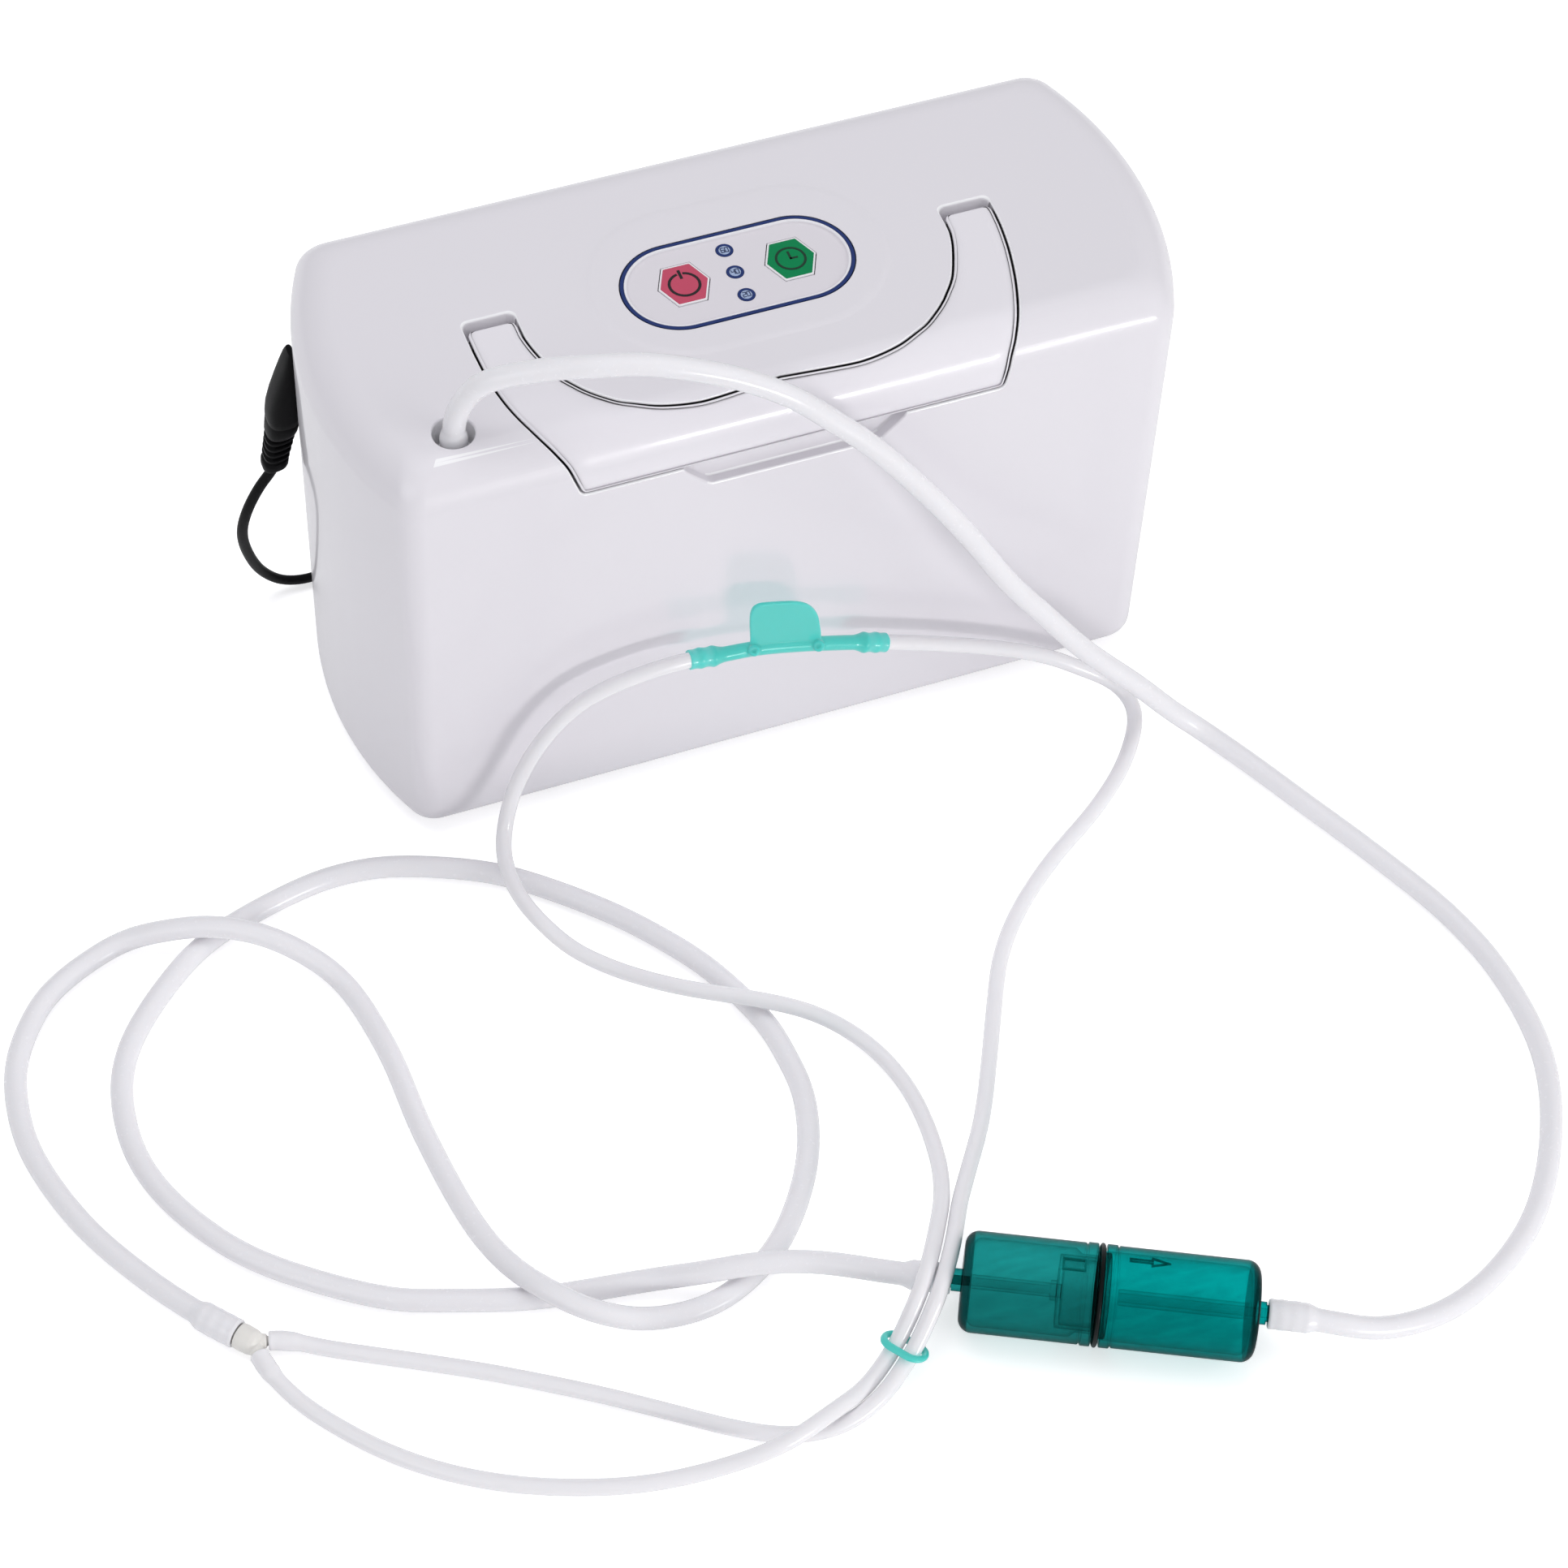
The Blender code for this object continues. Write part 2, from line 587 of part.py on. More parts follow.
backing = end_frame(-8.5, 7.5, 1.2, 6.4, 4.5, 66, "backing")
notch_back = box("notch_back", (-34, -HD + 1.2, 101), (33, -HD + 8.2, 114))
casing = boolean(casing, [tub, notch_back, backing], "UNION")

pocket = band_solid("pocket", handle_band(HANDLE_GAP_OUT, HANDLE_GAP, 6), 1.6,
                    -(HANDLE_T + 0.5), rear=-0.15)
rx0, rx1 = 53.9, 65.7
reliefs = []
for sgn in (-1, 1):
    r = [[(sgn * x + ARM_SHIFT, y, z) for y, z in ((3.2, TOP + 1.2), (2.3, TOP), (0.9, TOP - 3.6),
                                                   (-1.7, TOP - 3.6), (-1.7, TOP + 1.2))] for x in (rx0, rx1)]
    reliefs.append(loft("relief", r))
NOTCH_Z, NOTCH_D = 105.4, 2.8       # ledge level and depth of the finger notch
notch = loft("notch", [[(x, y, z) for x, z in ((-21.5, NOTCH_Z), (20.5, NOTCH_Z), (30.3, 115), (-31.3, 115))]
                       for y in (-HD - 1, -HD + NOTCH_D)])
panel_cut = prism("panel_cut", stadium(*PANEL_C, PANEL_L + 0.6, PANEL_W + 0.6), TOP - 1.1, TOP + 2)
cuts = [notch, pocket] + reliefs + [panel_cut]
for c in (KEY_POWER, KEY_SET):
    cuts.append(prism("key_cut", hexagon(c[0], c[1], KEY_SIZE + 0.8), TOP - 4, TOP + 2))
for c in LEDS:
    cuts.append(cyl("led_cut", (c[0], c[1], 0), (0, 0, 1), LED_R + 0.3, TOP - 4, TOP + 2, 14))
cuts.append(cyl("out_cut", (OUTLET[0], OUTLET[1], 0), (0, 0, 1), OUTLET_R, TOP - 14, TOP + 4, 24))
cuts.append(cyl("pin_cut", (0, HINGE_Y, HINGE_Z), (1, 0, 0), 1.3, -68.4 + ARM_SHIFT, -50.9 + ARM_SHIFT, 12))
cuts.append(cyl("pin_cut", (0, HINGE_Y, HINGE_Z), (1, 0, 0), 1.3, 50.9 + ARM_SHIFT, 68.4 + ARM_SHIFT, 12))
cuts.append(end_frame(-5.5, 5.5, -3.0, 3.4, 7, 62, "scoop", True))
cuts.append(cyl("jack_cut", (-110, 34.5, 84), (1, 0, 0), 3.6, 0, 17, 16))
cuts.append(rbox_y("rear_cut", 0, 64, 150.6, 88.6, 8, 36, 50))
casing = boolean(casing, cuts)
clean(casing)

# --------------------------------------------------------------------- handle
handle = band_solid("handle", handle_band(0, 0, 6), 0.0, -HANDLE_T,
                    nose=(HINGE_Y, HINGE_Z, NOSE_R, 6), **WHITE)
hc = [cyl("hole", (0, HINGE_Y, HINGE_Z), (1, 0, 0), 1.45, a, b, 12)
      for a, b in ((-71, -51), (48, 69))]
handle = boolean(handle, hc)
for sgn, nm in ((-1, "left"), (1, "right")):
    cyl("handle_pin_" + nm, (0, HINGE_Y, HINGE_Z), (1, 0, 0), 1.2,
        *sorted((sgn * 51.2 + ARM_SHIFT, sgn * 68.1 + ARM_SHIFT)), 10, rgb=(0.6, 0.6, 0.62), rough=0.3, metal=1.0)

# ------------------------------------------------------------- rear, base, pad
rear = rbox_y("rear_cover", 0, 64, 150, 88, 7.7, HD - WALL, HD - 0.05, **WHITE)
rc = []
for bx in (-52, -18):
    for k in range(7):
        rc.append(box("slot", (bx - 13, 35, 37 + 8 * k), (bx + 13, 50, 40 + 8 * k)))
rc.append(rbox_y("filter_cut", 44, 60, 46.6, 40.6, 5, 35, 50))
rear = boolean(rear, rc)
fc = rbox_y("inlet_filter_cover", 44, 60, 46, 40, 4.7, HD - WALL, HD + 0.9, **WHITE)
rc = [box("slot", (27, 35, 45.8 + 5.2 * k), (61, 50, 48.2 + 5.2 * k)) for k in range(6)]
fc = boolean(fc, rc)
rbox_y("inlet_filter_foam", 44, 60, 42, 36, 3, HD - WALL - 6.4, HD - WALL - 0.4,
       rgb=(0.12, 0.12, 0.13), rough=0.95)
base = prism("base_plate", plan(9.1, 4.7), Z_BODY, Z_BODY + 2.6, rgb=(0.62, 0.62, 0.65), rough=0.5)
base = boolean(base, [cyl("h", (sx * 66, sy * 24, 0), (0, 0, 1), 1.9, -1, 8, 10)
                      for sx in (-1, 1) for sy in (-1, 1)])
prism("anti_slip_pad", rrect(0, 0, 110, 52, 6), 0.0, Z_BODY - 0.1, rgb=(0.1, 0.1, 0.1), rough=0.9)
k = 0
for sx in (-1, 1):
    for sy in (-1, 1):
        k += 1
        revolve("base_screw_%d" % k, [(1.0, 0), (1.0, 3.2), (Z_BODY - 0.15, 3.4), (Z_BODY - 0.15, 1.6),
                                      (10, 1.6), (11, 0)],
                (sx * 66, sy * 24, 0), (0, 0, 1), 10, hollow=False,
                rgb=(0.35, 0.35, 0.37), rough=0.35, metal=1.0)

# ------------------------------------------------------------- control panel
pz = TOP - 1.0
ring = prism("panel_ring", stadium(*PANEL_C, PANEL_L, PANEL_W), pz + 0.1, TOP - 0.1,
             rgb=(0.01, 0.03, 0.14), rough=0.35)
ring = boolean(ring, [prism("c", stadium(*PANEL_C, PANEL_L - 1.7, PANEL_W - 1.7), pz - 1, TOP + 1)])
label = prism("panel_label", stadium(*PANEL_C, PANEL_L - 2.0, PANEL_W - 2.0), pz + 0.1, TOP - 0.25,
              rgb=(0.74, 0.73, 0.77), rough=0.45)
lc = [prism("key_cut", hexagon(c[0], c[1], KEY_SIZE + 0.7), TOP - 4, TOP + 2) for c in (KEY_POWER, KEY_SET)]
lc += [cyl("led_cut", (c[0], c[1], 0), (0, 0, 1), LED_R + 0.2, TOP - 4, TOP + 2, 14) for c in LEDS]
label = boolean(label, lc)
for nm, c, col in (("power_button", KEY_POWER, (0.55, 0.09, 0.15)), ("set_button", KEY_SET, (0.005, 0.22, 0.08))):
    b = loft(nm, [[(x, y, TOP - 4.6) for x, y in hexagon(c[0], c[1], KEY_SIZE + 1.8)],
                  [(x, y, TOP - 3.5) for x, y in hexagon(c[0], c[1], KEY_SIZE + 1.8)],
                  [(x, y, TOP - 3.49) for x, y in hexagon(c[0], c[1], KEY_SIZE)],
                  [(x, y, TOP + 0.3) for x, y in hexagon(c[0], c[1], KEY_SIZE)],
                  [(x, y, TOP + 0.6) for x, y in hexagon(c[0], c[1], KEY_SIZE - 0.8)]],
             rgb=col, rough=0.4, smooth=False)
for i, c in enumerate(LEDS):
    revolve("led_lens_%d" % (i + 1), [(TOP - 4.2, 0), (TOP - 4.2, LED_R), (TOP - 0.3, LED_R), (TOP - 0.1, LED_R * 0.6),
                                      (TOP - 0.05, 0)], (c[0], c[1], 0), (0, 0, 1), 14, hollow=False,
            rgb=(0.2, 0.28, 0.5), rough=0.2)
pcb = prism("button_pcb", rrect(-0.5, -2.8, 66, 30, 3), TOP - 11.2, TOP - 9.6, rgb=(0.02, 0.2, 0.08), rough=0.5)
posts = [cyl("p", (-0.5 + sx * 29, -2.8 + sy * 11.0, 0), (0, 0, 1), 2.0, TOP - 10, TOP - 2.9, 8)
         for sx in (-1, 1) for sy in (-1, 1)]
pcb = boolean(pcb, posts, "UNION")
for nm, c in (("switch_power", KEY_POWER), ("switch_set", KEY_SET)):
    revolve(nm, [(TOP - 9.5, 0), (TOP - 9.5, 4.2), (TOP - 6.6, 4.2), (TOP - 6.6, 1.7), (TOP - 5.35, 1.7),
                 (TOP - 5.35, 0)], (c[0], c[1], 0), (0, 0, 1), 8, hollow=False, rgb=(0.05, 0.05, 0.05), smooth=False)

# ------------------------------------------------------------ compressor unit
tray = box("compressor_tray", (-78, -27, 12), (-8, 27, 13.8), rgb=(0.5, 0.5, 0.52), metal=0.8)
k = 0
for x in (-72, -14):
    for y in (-21, 21):
        k += 1
        revolve("rubber_mount_%d" % k, [(4.4, 0), (4.4, 5), (7, 5), (8.2, 4), (9.4, 5), (11.8, 5), (11.8, 0)],
                (x, y, 0), (0, 0, 1), 10, hollow=False, rgb=(0.06, 0.06, 0.06), rough=0.9)
MZ = 38.0
crank = box("crankcase", (-36, -19, 14.2), (-14, 19, 60), rgb=(0.55, 0.56, 0.58), metal=0.8)
crank = boolean(crank, [cyl("b", (0, 0, MZ), (1, 0, 0), 14, -33, -10, 20),
                        cyl("b", (0, 0, MZ), (1, 0, 0), 4.6, -40, -10, 12),
                        cyl("b", (-25, 0, 0), (0, 0, 1), 10.6, 45, 70, 20)])
motor = revolve("motor_housing", [(-72, 18.6), (-70, 20), (-38.5, 20), (-36.4, 18), (-36.4, 4.4), (-72, 4.4)],
                (0, 0, MZ), (1, 0, 0), 18, rgb=(0.35, 0.36, 0.38), metal=0.9)
shaft = cyl("motor_shaft", (0, 0, MZ), (1, 0, 0), 3.2, -74, -17, 12, rgb=(0.7, 0.7, 0.72), metal=1.0)
shaft = boolean(shaft, [cyl("e", (0, 3.2, MZ + 2.0), (1, 0, 0), 8.2, -30, -20, 16)], "UNION")
revolve("cylinder_barrel", [(60.2, 16), (84, 16), (84, 12.3), (60.2, 12.3)], (-25, 0, 0), (0, 0, 1), 20,
        rgb=(0.6, 0.6, 0.62), metal=0.9)
revolve("piston", [(56.0, 0), (56.0, 3.0), (68.0, 3.0), (68.0, 12.1), (76, 12.1), (76, 0)], (-25, 0, 0), (0, 0, 1),
        20, hollow=False, rgb=(0.65, 0.65, 0.66), metal=0.9)
revolve("cylinder_head", [(84.3, 0), (84.3, 17), (87, 17), (87, 15), (89, 15), (89, 17), (91.5, 17), (91.5, 15),
                          (93.5, 15), (93.5, 17), (97, 17), (98, 15.5), (98, 0)], (-25, 0, 0), (0, 0, 1), 18,
        hollow=False, rgb=(0.6, 0.6, 0.62), metal=0.9)

# ---------------------------------------------------------- sieve, tank, valve
for nm, y in (("sieve_column_front", -16.5), ("sieve_column_rear", 16.5)):
    revolve(nm, [(5.0, 0), (5.0, 14), (9, 14.5), (9, 13), (94, 13), (94, 14.5), (98, 14), (98, 4), (100.2, 4), (100.2, 0)],
            (14, y, 0), (0, 0, 1), 16, hollow=False, rgb=(0.7, 0.7, 0.72), metal=0.6, rough=0.35)
box("valve_manifold", (0, -29, 100.6), (28, 29, 109), rgb=(0.75, 0.75, 0.72))
for nm, y in (("valve_feed", -14), ("valve_vent", 14)):
    revolve(nm, [(28.3, 0), (28.3, 6.5), (46, 6.5), (47, 4.5), (51, 4.5), (51, 0)], (0, y, 104), (1, 0, 0), 12,
            hollow=False, rgb=(0.08, 0.08, 0.09))
revolve("product_tank", [(6, 0), (6, 7), (9, 11), (90, 11), (93, 7), (93, 3), (97, 3), (97, 0)], (44, -24, 0), (0, 0, 1),
        16, hollow=False, rgb=(0.7, 0.74, 0.78), metal=0.5)
fan = box("fan_frame", (70, -29, 26), (84, 29, 84), rgb=(0.06, 0.06, 0.07))
fan = boolean(fan, [cyl("f", (0, 0, 55), (1, 0, 0), 27, 60, 81, 24)])
for a in range(4):
    pass
vent = []
for i in range(3):
    for j in range(3):
        if i == 1 and j == 1:
            continue
        vent.append(box("v", (78, -16.5 + 12 * i - 4.5 + 4.5, 38.5 + 12 * j), (86, -16.5 + 12 * i + 9, 47.5 + 12 * j)))
fan = boolean(fan, vent)
hub = cyl("fan_impeller", (0, 0, 55), (1, 0, 0), 9.5, 72, 80.4, 14, rgb=(0.1, 0.1, 0.11))
blades = []
for i in range(7):
    a = 2 * math.pi * i / 7
    u = (0, math.cos(a), math.sin(a))
    v = (0, -math.sin(a), math.cos(a))
    pts = []
    for rr_, w in ((8.0, 3.0), (25.8, 4.4)):
        for dx, dv in ((72.6, -w), (74.0, -w), (79.8, w), (78.4, w)):
            pts.append((dx, u[1] * rr_ + v[1] * dv, 55 + u[2] * rr_ + v[2] * dv))
    blades.append(loft("b", [pts[:4], pts[4:]]))
hub = boolean(hub, blades, "UNION")
clean(hub)
pcb2 = box("main_pcb", (-74, 34.0, 24), (-2, 35.6, 104), rgb=(0.02, 0.2, 0.08), rough=0.5)
chips = [box("c", lo, hi) for lo, hi in (((-66, 31, 80), (-52, 34.5, 94)), ((-44, 29, 84), (-34, 34.5, 98)),
                                         ((-24, 30, 78), (-10, 34.5, 92)))]
pcb2 = boolean(pcb2, chips, "UNION")

# ------------------------------------------------------- outlet, jack and lead
revolve("outlet_nozzle", [(100, 1.0), (100, 2.2), (108, 2.2), (108, 4.6), (111.5, 4.6), (111.5, 1.9), (119, 1.9), (121, 2.25),
                          (123.4, 1.95), (124, 2.25), (126.4, 1.7), (126.4, 1.0)],
        (OUTLET[0], OUTLET[1], 0), (0, 0, 1), 12, rgb=(0.55, 0.56, 0.6), rough=0.35)
P, _ = spline([(44, -24, 98.3), (44, -24, 102), (41, -29, 107), (34, -32, 108.5), (10, -32, 107), (-30, -32, 104),
               (-62, -31.8, 99), (-73, -31, 92), (-79.0, -29.8, 92.5), (-79.4, -29.6, 98.4)], 11)
sweep("product_tube", P, [2.3] * len(P), 6, [1.3] * len(P), rgb=(0.75, 0.78, 0.8), alpha=0.6)
revolve("dc_jack", [(0, 3.0), (0, 4.0), (11, 4.0), (11, 0.9), (9, 0.9), (9, 3.0)], (-94.2, 34.2, 84), (1, 0, 0), 12,
        rgb=(0.05, 0.05, 0.05))


def plug_ring(cx, cz, hx, hy, tilt=0.0, n=10):
    out = []
    for i in range(n):
        a = 2 * math.pi * (i + 0.5) / n
        c, s = math.cos(a), math.sin(a)
        q = 0.72
        ux = hx * math.copysign(abs(c) ** q, c)
        uy = hy * math.copysign(abs(s) ** q, s)
        out.append((cx + ux, 35.0 + uy, cz + ux * tilt))
    return out


prof = [(-100.9, 98.6, 0.6, 2.0, 0.0), (-101.9, 94, 1.5, 3.4, 0.0), (-104.1, 81, 3.7, 4.6, 0.0), (-104.4, 75.5, 4.0, 4.7, 0.0),
        (-105.2, 71.6, 3.7, 4.2, 0.1)]
z0 = 71.0
for i in range(4):
    c0 = -105.4 - 0.42 * i
    prof += [(c0, z0 - 0.3 - 2.0 * i, 3.6 - 0.12 * i, 3.7, 0.15), (c0 - 0.1, z0 - 1.0 - 2.0 * i, 2.7, 2.8, 0.15),
             (c0 - 0.2, z0 - 1.5 - 2.0 * i, 2.7, 2.8, 0.15)]
prof += [(-107.0, 62.4, 3.3, 3.5, 0.18), (-107.3, 60.2, 3.0, 3.2, 0.18)]
plug = loft("dc_plug", [plug_ring(*q) for q in prof], rgb=(0.012, 0.012, 0.013), rough=0.55)
plug = boolean(plug, [cyl("barrel", (-104, 34.5, 84), (1, 0, 0), 2.6, 0, 16.5, 12)], "UNION")
plug = boolean(plug, [cyl("bore", (-104, 34.5, 84), (1, 0, 0), 1.3, 4.5, 18, 10),
                      cyl("lead_bore", (-107.15, 35.0, 60), (0.12, 0, 1), 2.05, -2, 4.4, 8)])
clean(plug)
P, _ = spline(LEAD_PATH, 6)
sweep("dc_lead", P, [1.35] * len(P), 6, rgb=(0.015, 0.015, 0.016), rough=0.5)
revolve("lead_socket", [(0.6, 1.7), (0.6, 3.2), (6, 4.6), (20, 4.6), (20, 2.8), (6, 2.8), (6, 1.7)],
        (-46.6, 57.36, 4.7), (0.999, 0.04, 0.0), 12, rgb=(0.015, 0.015, 0.016), rough=0.5)

# ------------------------------------------------------------------ hose set
WHITE_HOSE = dict(rgb=(0.80, 0.79, 0.84), rough=0.25)
hose("outlet_hose", OUTLET_PATH, 13.0, HOSE_R, HOSE_IR, cuff0=(6.2, 3.4, CUFF_IR), cuff1=(8.5, CUFF_R, CUFF_IR), **WHITE_HOSE)
hose("supply_hose", SUPPLY_PATH, 13.0, HOSE_R, HOSE_IR, cuff0=(8.5, CUFF_R, CUFF_IR), cuff1=(9, CUFF_R, CUFF_IR), **WHITE_HOSE)
hose("cannula_tube_a", TUBE_A_PATH, 12.0, TUBE_R, TUBE_IR, cuff0=(5.0, 2.25, 1.5), n=6, **WHITE_HOSE)
hose("cannula_tube_b", TUBE_B_PATH, 12.0, TUBE_R, TUBE_IR, cuff0=(5.0, 2.25, 1.5), n=6, **WHITE_HOSE)

BA = Vector((BOTTLE_A[0], BOTTLE_A[1], BOTTLE_Z))
BX = Vector((BOTTLE_B[0] - BOTTLE_A[0], BOTTLE_B[1] - BOTTLE_A[1], 0)).normalized()
L = BOTTLE_L
rb = BOTTLE_R
revolve("bottle_left_half", [(-10.5, 1.1), (-10.5, 1.7), (-8, 2.3), (-7.8, 1.9), (-5, 2.3), (-4.8, 1.9), (-2.3, 1.9), (-2.3, 2.7), (0, 2.7),
                             (0.0, 8.4), (0.8, 10.2), (2.8, rb), (27.6, rb), (27.8, rb + 0.15), (32.0, rb + 0.15),
                             (32.0, 9.9), (37.5, 9.9), (37.5, 9.0), (27, 9.0), (25.5, 10.2), (4.5, 10.2), (2.6, 8.6),
                             (2.4, 2.6), (2.4, 1.1)],
        BA, BX, 16, rgb=(0.02, 0.25, 0.22), alpha=0.6, rough=0.1)
revolve("bottle_right_half", [(L + 10.5, 1.1), (L + 10.5, 1.7), (L + 8, 2.3), (L + 7.8, 1.9), (L + 5, 2.3), (L + 4.8, 1.9), (L + 2.0, 1.9),
                              (L + 2.0, 2.7), (L, 2.7), (L, 8.0), (L - 0.9, 10.0), (L - 3.2, rb), (38.2, rb), (38.0, rb + 0.15),
                              (34.0, rb + 0.15), (34.0, 10.2), (L - 5.0, 10.2), (L - 3.0, 8.6), (L - 2.6, 3.0), (44, 3.0), (44, 1.1)],
        BA, BX, 16, rgb=(0.0, 0.19, 0.16), alpha=0.6, rough=0.1)
revolve("bottle_o_ring", [(32.25, 10.3), (32.25, 11.5), (33.0, 11.9), (33.75, 11.5), (33.75, 10.3)], BA, BX, 16,
        rgb=(0.01, 0.03, 0.03), rough=0.5)
revolve("bottle_insert", [(23.5, 1.6), (23.5, 8.6), (40, 8.6), (40, 7.8), (25, 7.8), (25, 1.6)], BA, BX, 12,
        rgb=(0.02, 0.22, 0.2), alpha=0.7, rough=0.2)

# Y piece
yc = Vector((-177.4, -169.0, 3.4))
yd = Vector((0.645, -0.764, -0.01)).normalized()
trunk = revolve("y_connector", [(-9.0, 0), (-9.0, 1.7), (-7, 2.25), (-4.6, 1.9), (-1.8, 1.9), (-1.8, 3.15), (2.4, 2.9), (3.4, 2.2), (3.4, 0)],
                yc, yd, 10, hollow=False, rgb=(0.78, 0.75, 0.68), rough=0.4)
yo = yc + yd * 1.6
ya = (Vector(TUBE_A_PATH[0]) - yo).normalized()
yb = (Vector(TUBE_B_PATH[0]) - yo).normalized()
ba = revolve("ba", [(0, 0), (0, 1.6), (3.4, 1.6), (3.4, 1.0), (8.0, 1.0), (8.0, 0)], yo, ya, 8, hollow=False)
bb = revolve("bb", [(0, 0), (0, 1.6), (3.4, 1.6), (3.4, 1.0), (8.0, 1.0), (8.0, 0)], yo, yb, 8, hollow=False)
trunk = boolean(trunk, [ba, bb], "UNION")
trunk = boolean(trunk, [cyl("q", yc, yd, 1.1, -12, 2.2, 8), cyl("q", yo, ya, 0.6, 0.1, 12, 6),
                        cyl("q", yo, yb, 0.6, 0.1, 12, 6)])
clean(trunk)

# cannula slider
sc = (Vector(PAIR[1]) + Vector(PAIR[2])) / 2
sd = (Vector(PAIR[2]) - Vector(PAIR[1])).normalized()
acr = sd.cross(Vector((0.0, 0.0, 1.0))).normalized()
nrm = sd.cross(acr)
rr4 = []
for d, L_, W_ in ((-0.8, 10.8, 6.6), (0.8, 10.8, 6.6), (0.8, 9.2, 5.0), (-0.8, 9.2, 5.0)):
    rr4.append([tuple(sc + sd * d + acr * x + nrm * y) for x, y in stadium(0, 0, L_, W_, 5)])
nn = len(rr4[0])
vv = [v for r in rr4 for v in r]
ff = []
for q in range(4):
    ff += ring_faces(q * nn, ((q + 1) % 4) * nn, nn)
new_obj("cannula_slider", vv, ff, rgb=(0.08, 0.62, 0.50), rough=0.35)

# nasal piece
AQUA = dict(rgb=(0.08, 0.62, 0.50), rough=0.3, alpha=0.85)
P, s = spline([(x, NASAL_Y, z) for x, z in NASAL], 3.0)
rad = []
for q in s:
    e = min(q, s[-1] - q)
    rad.append(2.75 if e < 8.2 else (2.75 + (1.85 - 2.75) * min(1, (e - 8.2) / 3)))
nas = sweep("nasal_piece", P, rad, 10, **AQUA)
tab = [(-13.1, 51), (-13.4, 57), (-13.4, 64), (-12.8, 66.0), (-11.3, 66.8), (-6.6, 65.5), (-1.7, 63.7), (1.3, 61.4), (3.4, 57.8),
       (4.4, 53.4), (4.9, 48.6), (4.8, 46.0), (-3.6, 48.6)]
tabm = loft("tab", [[(x, NASAL_Y - 0.7, z) for x, z in tab], [(x, NASAL_Y + 0.7, z) for x, z in tab]])
pd = Vector((-0.24, -0.69, 0.68)).normalized()
pr = [revolve("prong", [(0, 0), (0, 1.6), (4.4, 1.45), (5.0, 1.1), (5.0, 0)], (x, NASAL_Y, z), pd, 10, hollow=False)
      for x, z in ((-12.4, 50.3), (4.6, 45.4))]
nas = boolean(nas, [tabm] + pr, "UNION")
t0 = (P[1] - P[0]) / np.linalg.norm(P[1] - P[0])
t1 = (P[-1] - P[-2]) / np.linalg.norm(P[-1] - P[-2])
Pb = np.concatenate([[P[0] - t0 * 1.5], P, [P[-1] + t1 * 1.5]])
sb = np.concatenate([[-1.5], s, [s[-1] + 1.5]])
rb_ = [2.42 if min(q, s[-1] - q) < 6.5 else 1.0 for q in sb]
bores = [cyl("q", (x, NASAL_Y, z), pd, 0.8, 0.0, 9, 8) for x, z in ((-12.4, 50.3), (4.6, 45.4))]
bores += [sweep("bore", Pb, rb_, 10)]
nas = boolean(nas, bores)
clean(nas)


def set_origin(name, p):
    ob = bpy.data.objects[name]
    p = Vector(p) * MM
    ob.data.transform(Matrix.Translation(-p))
    ob.location = p


set_origin("handle", (0, HINGE_Y, HINGE_Z))
set_origin("motor_shaft", (-25, 0, MZ))
set_origin("fan_impeller", (76, 0, 55))
set_origin("power_button", (KEY_POWER[0], KEY_POWER[1], TOP))
set_origin("set_button", (KEY_SET[0], KEY_SET[1], TOP))
set_origin("piston", (-25, 0, 72))
set_origin("bottle_left_half", tuple(BA))
set_origin("cannula_slider", tuple(sc))
set_origin("inlet_filter_cover", (44, HD, 60))
set_origin("dc_plug", (-100.4, 34.5, 84))
bpy.context.view_layer.update()
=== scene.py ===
# Looks of a portable oxygen concentrator: white casing with a U-shaped carry handle and key
# panel, hoses, a teal bottle, a nasal cannula and a DC lead, built around its CAD pieces.
# Sizes are millimetres: x to the right, y to the back, z up. The casing is centred on x = 0,
# y = 0 and stands on the floor at z = 0; the stage, lights and camera are in metres.
import math

import bpy
import bmesh
import numpy as np
from mathutils import Matrix, Vector


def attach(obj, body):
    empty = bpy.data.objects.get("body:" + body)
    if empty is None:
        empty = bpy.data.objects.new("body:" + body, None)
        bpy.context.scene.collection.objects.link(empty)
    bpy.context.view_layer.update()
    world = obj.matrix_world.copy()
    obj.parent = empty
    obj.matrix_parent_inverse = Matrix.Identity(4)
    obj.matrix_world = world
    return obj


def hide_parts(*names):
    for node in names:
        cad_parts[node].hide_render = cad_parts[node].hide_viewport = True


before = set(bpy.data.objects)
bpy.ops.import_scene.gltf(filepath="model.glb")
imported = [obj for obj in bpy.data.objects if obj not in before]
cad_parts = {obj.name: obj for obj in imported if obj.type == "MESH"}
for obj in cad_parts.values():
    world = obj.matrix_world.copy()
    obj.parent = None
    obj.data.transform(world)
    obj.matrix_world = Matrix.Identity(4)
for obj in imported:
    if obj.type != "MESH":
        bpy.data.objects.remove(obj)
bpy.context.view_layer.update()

MM = 0.001

# ------------------------------------------------------------- dimensions
BODY_W, BODY_D, TOP = 190.0, 87.4, 129.0
END_BULGE, R_CORNER, R_TOP, R_BOTTOM = 11.0, 7.0, 10.6, 6.0
WALL, Z_BODY = 2.5, 1.6             # casing wall, level of its underside
HD = BODY_D / 2.0
PANEL_C, PANEL_L, PANEL_W = (-0.5, -2.8), 57.4, 27.6
PANEL_TOP = TOP + 0.22
FILM_Z = PANEL_TOP - 0.74           # level of the sunk film
KEY_POWER, KEY_SET, KEY_SIZE = (-13.7, -2.0), (13.0, -2.2), 12.8
LEDS, LED_R = [(-0.9, 5.5), (-0.9, -2.0), (-0.9, -9.8)], 2.1
OUTLET, OUTLET_R = (-79.4, -29.6), 4.95
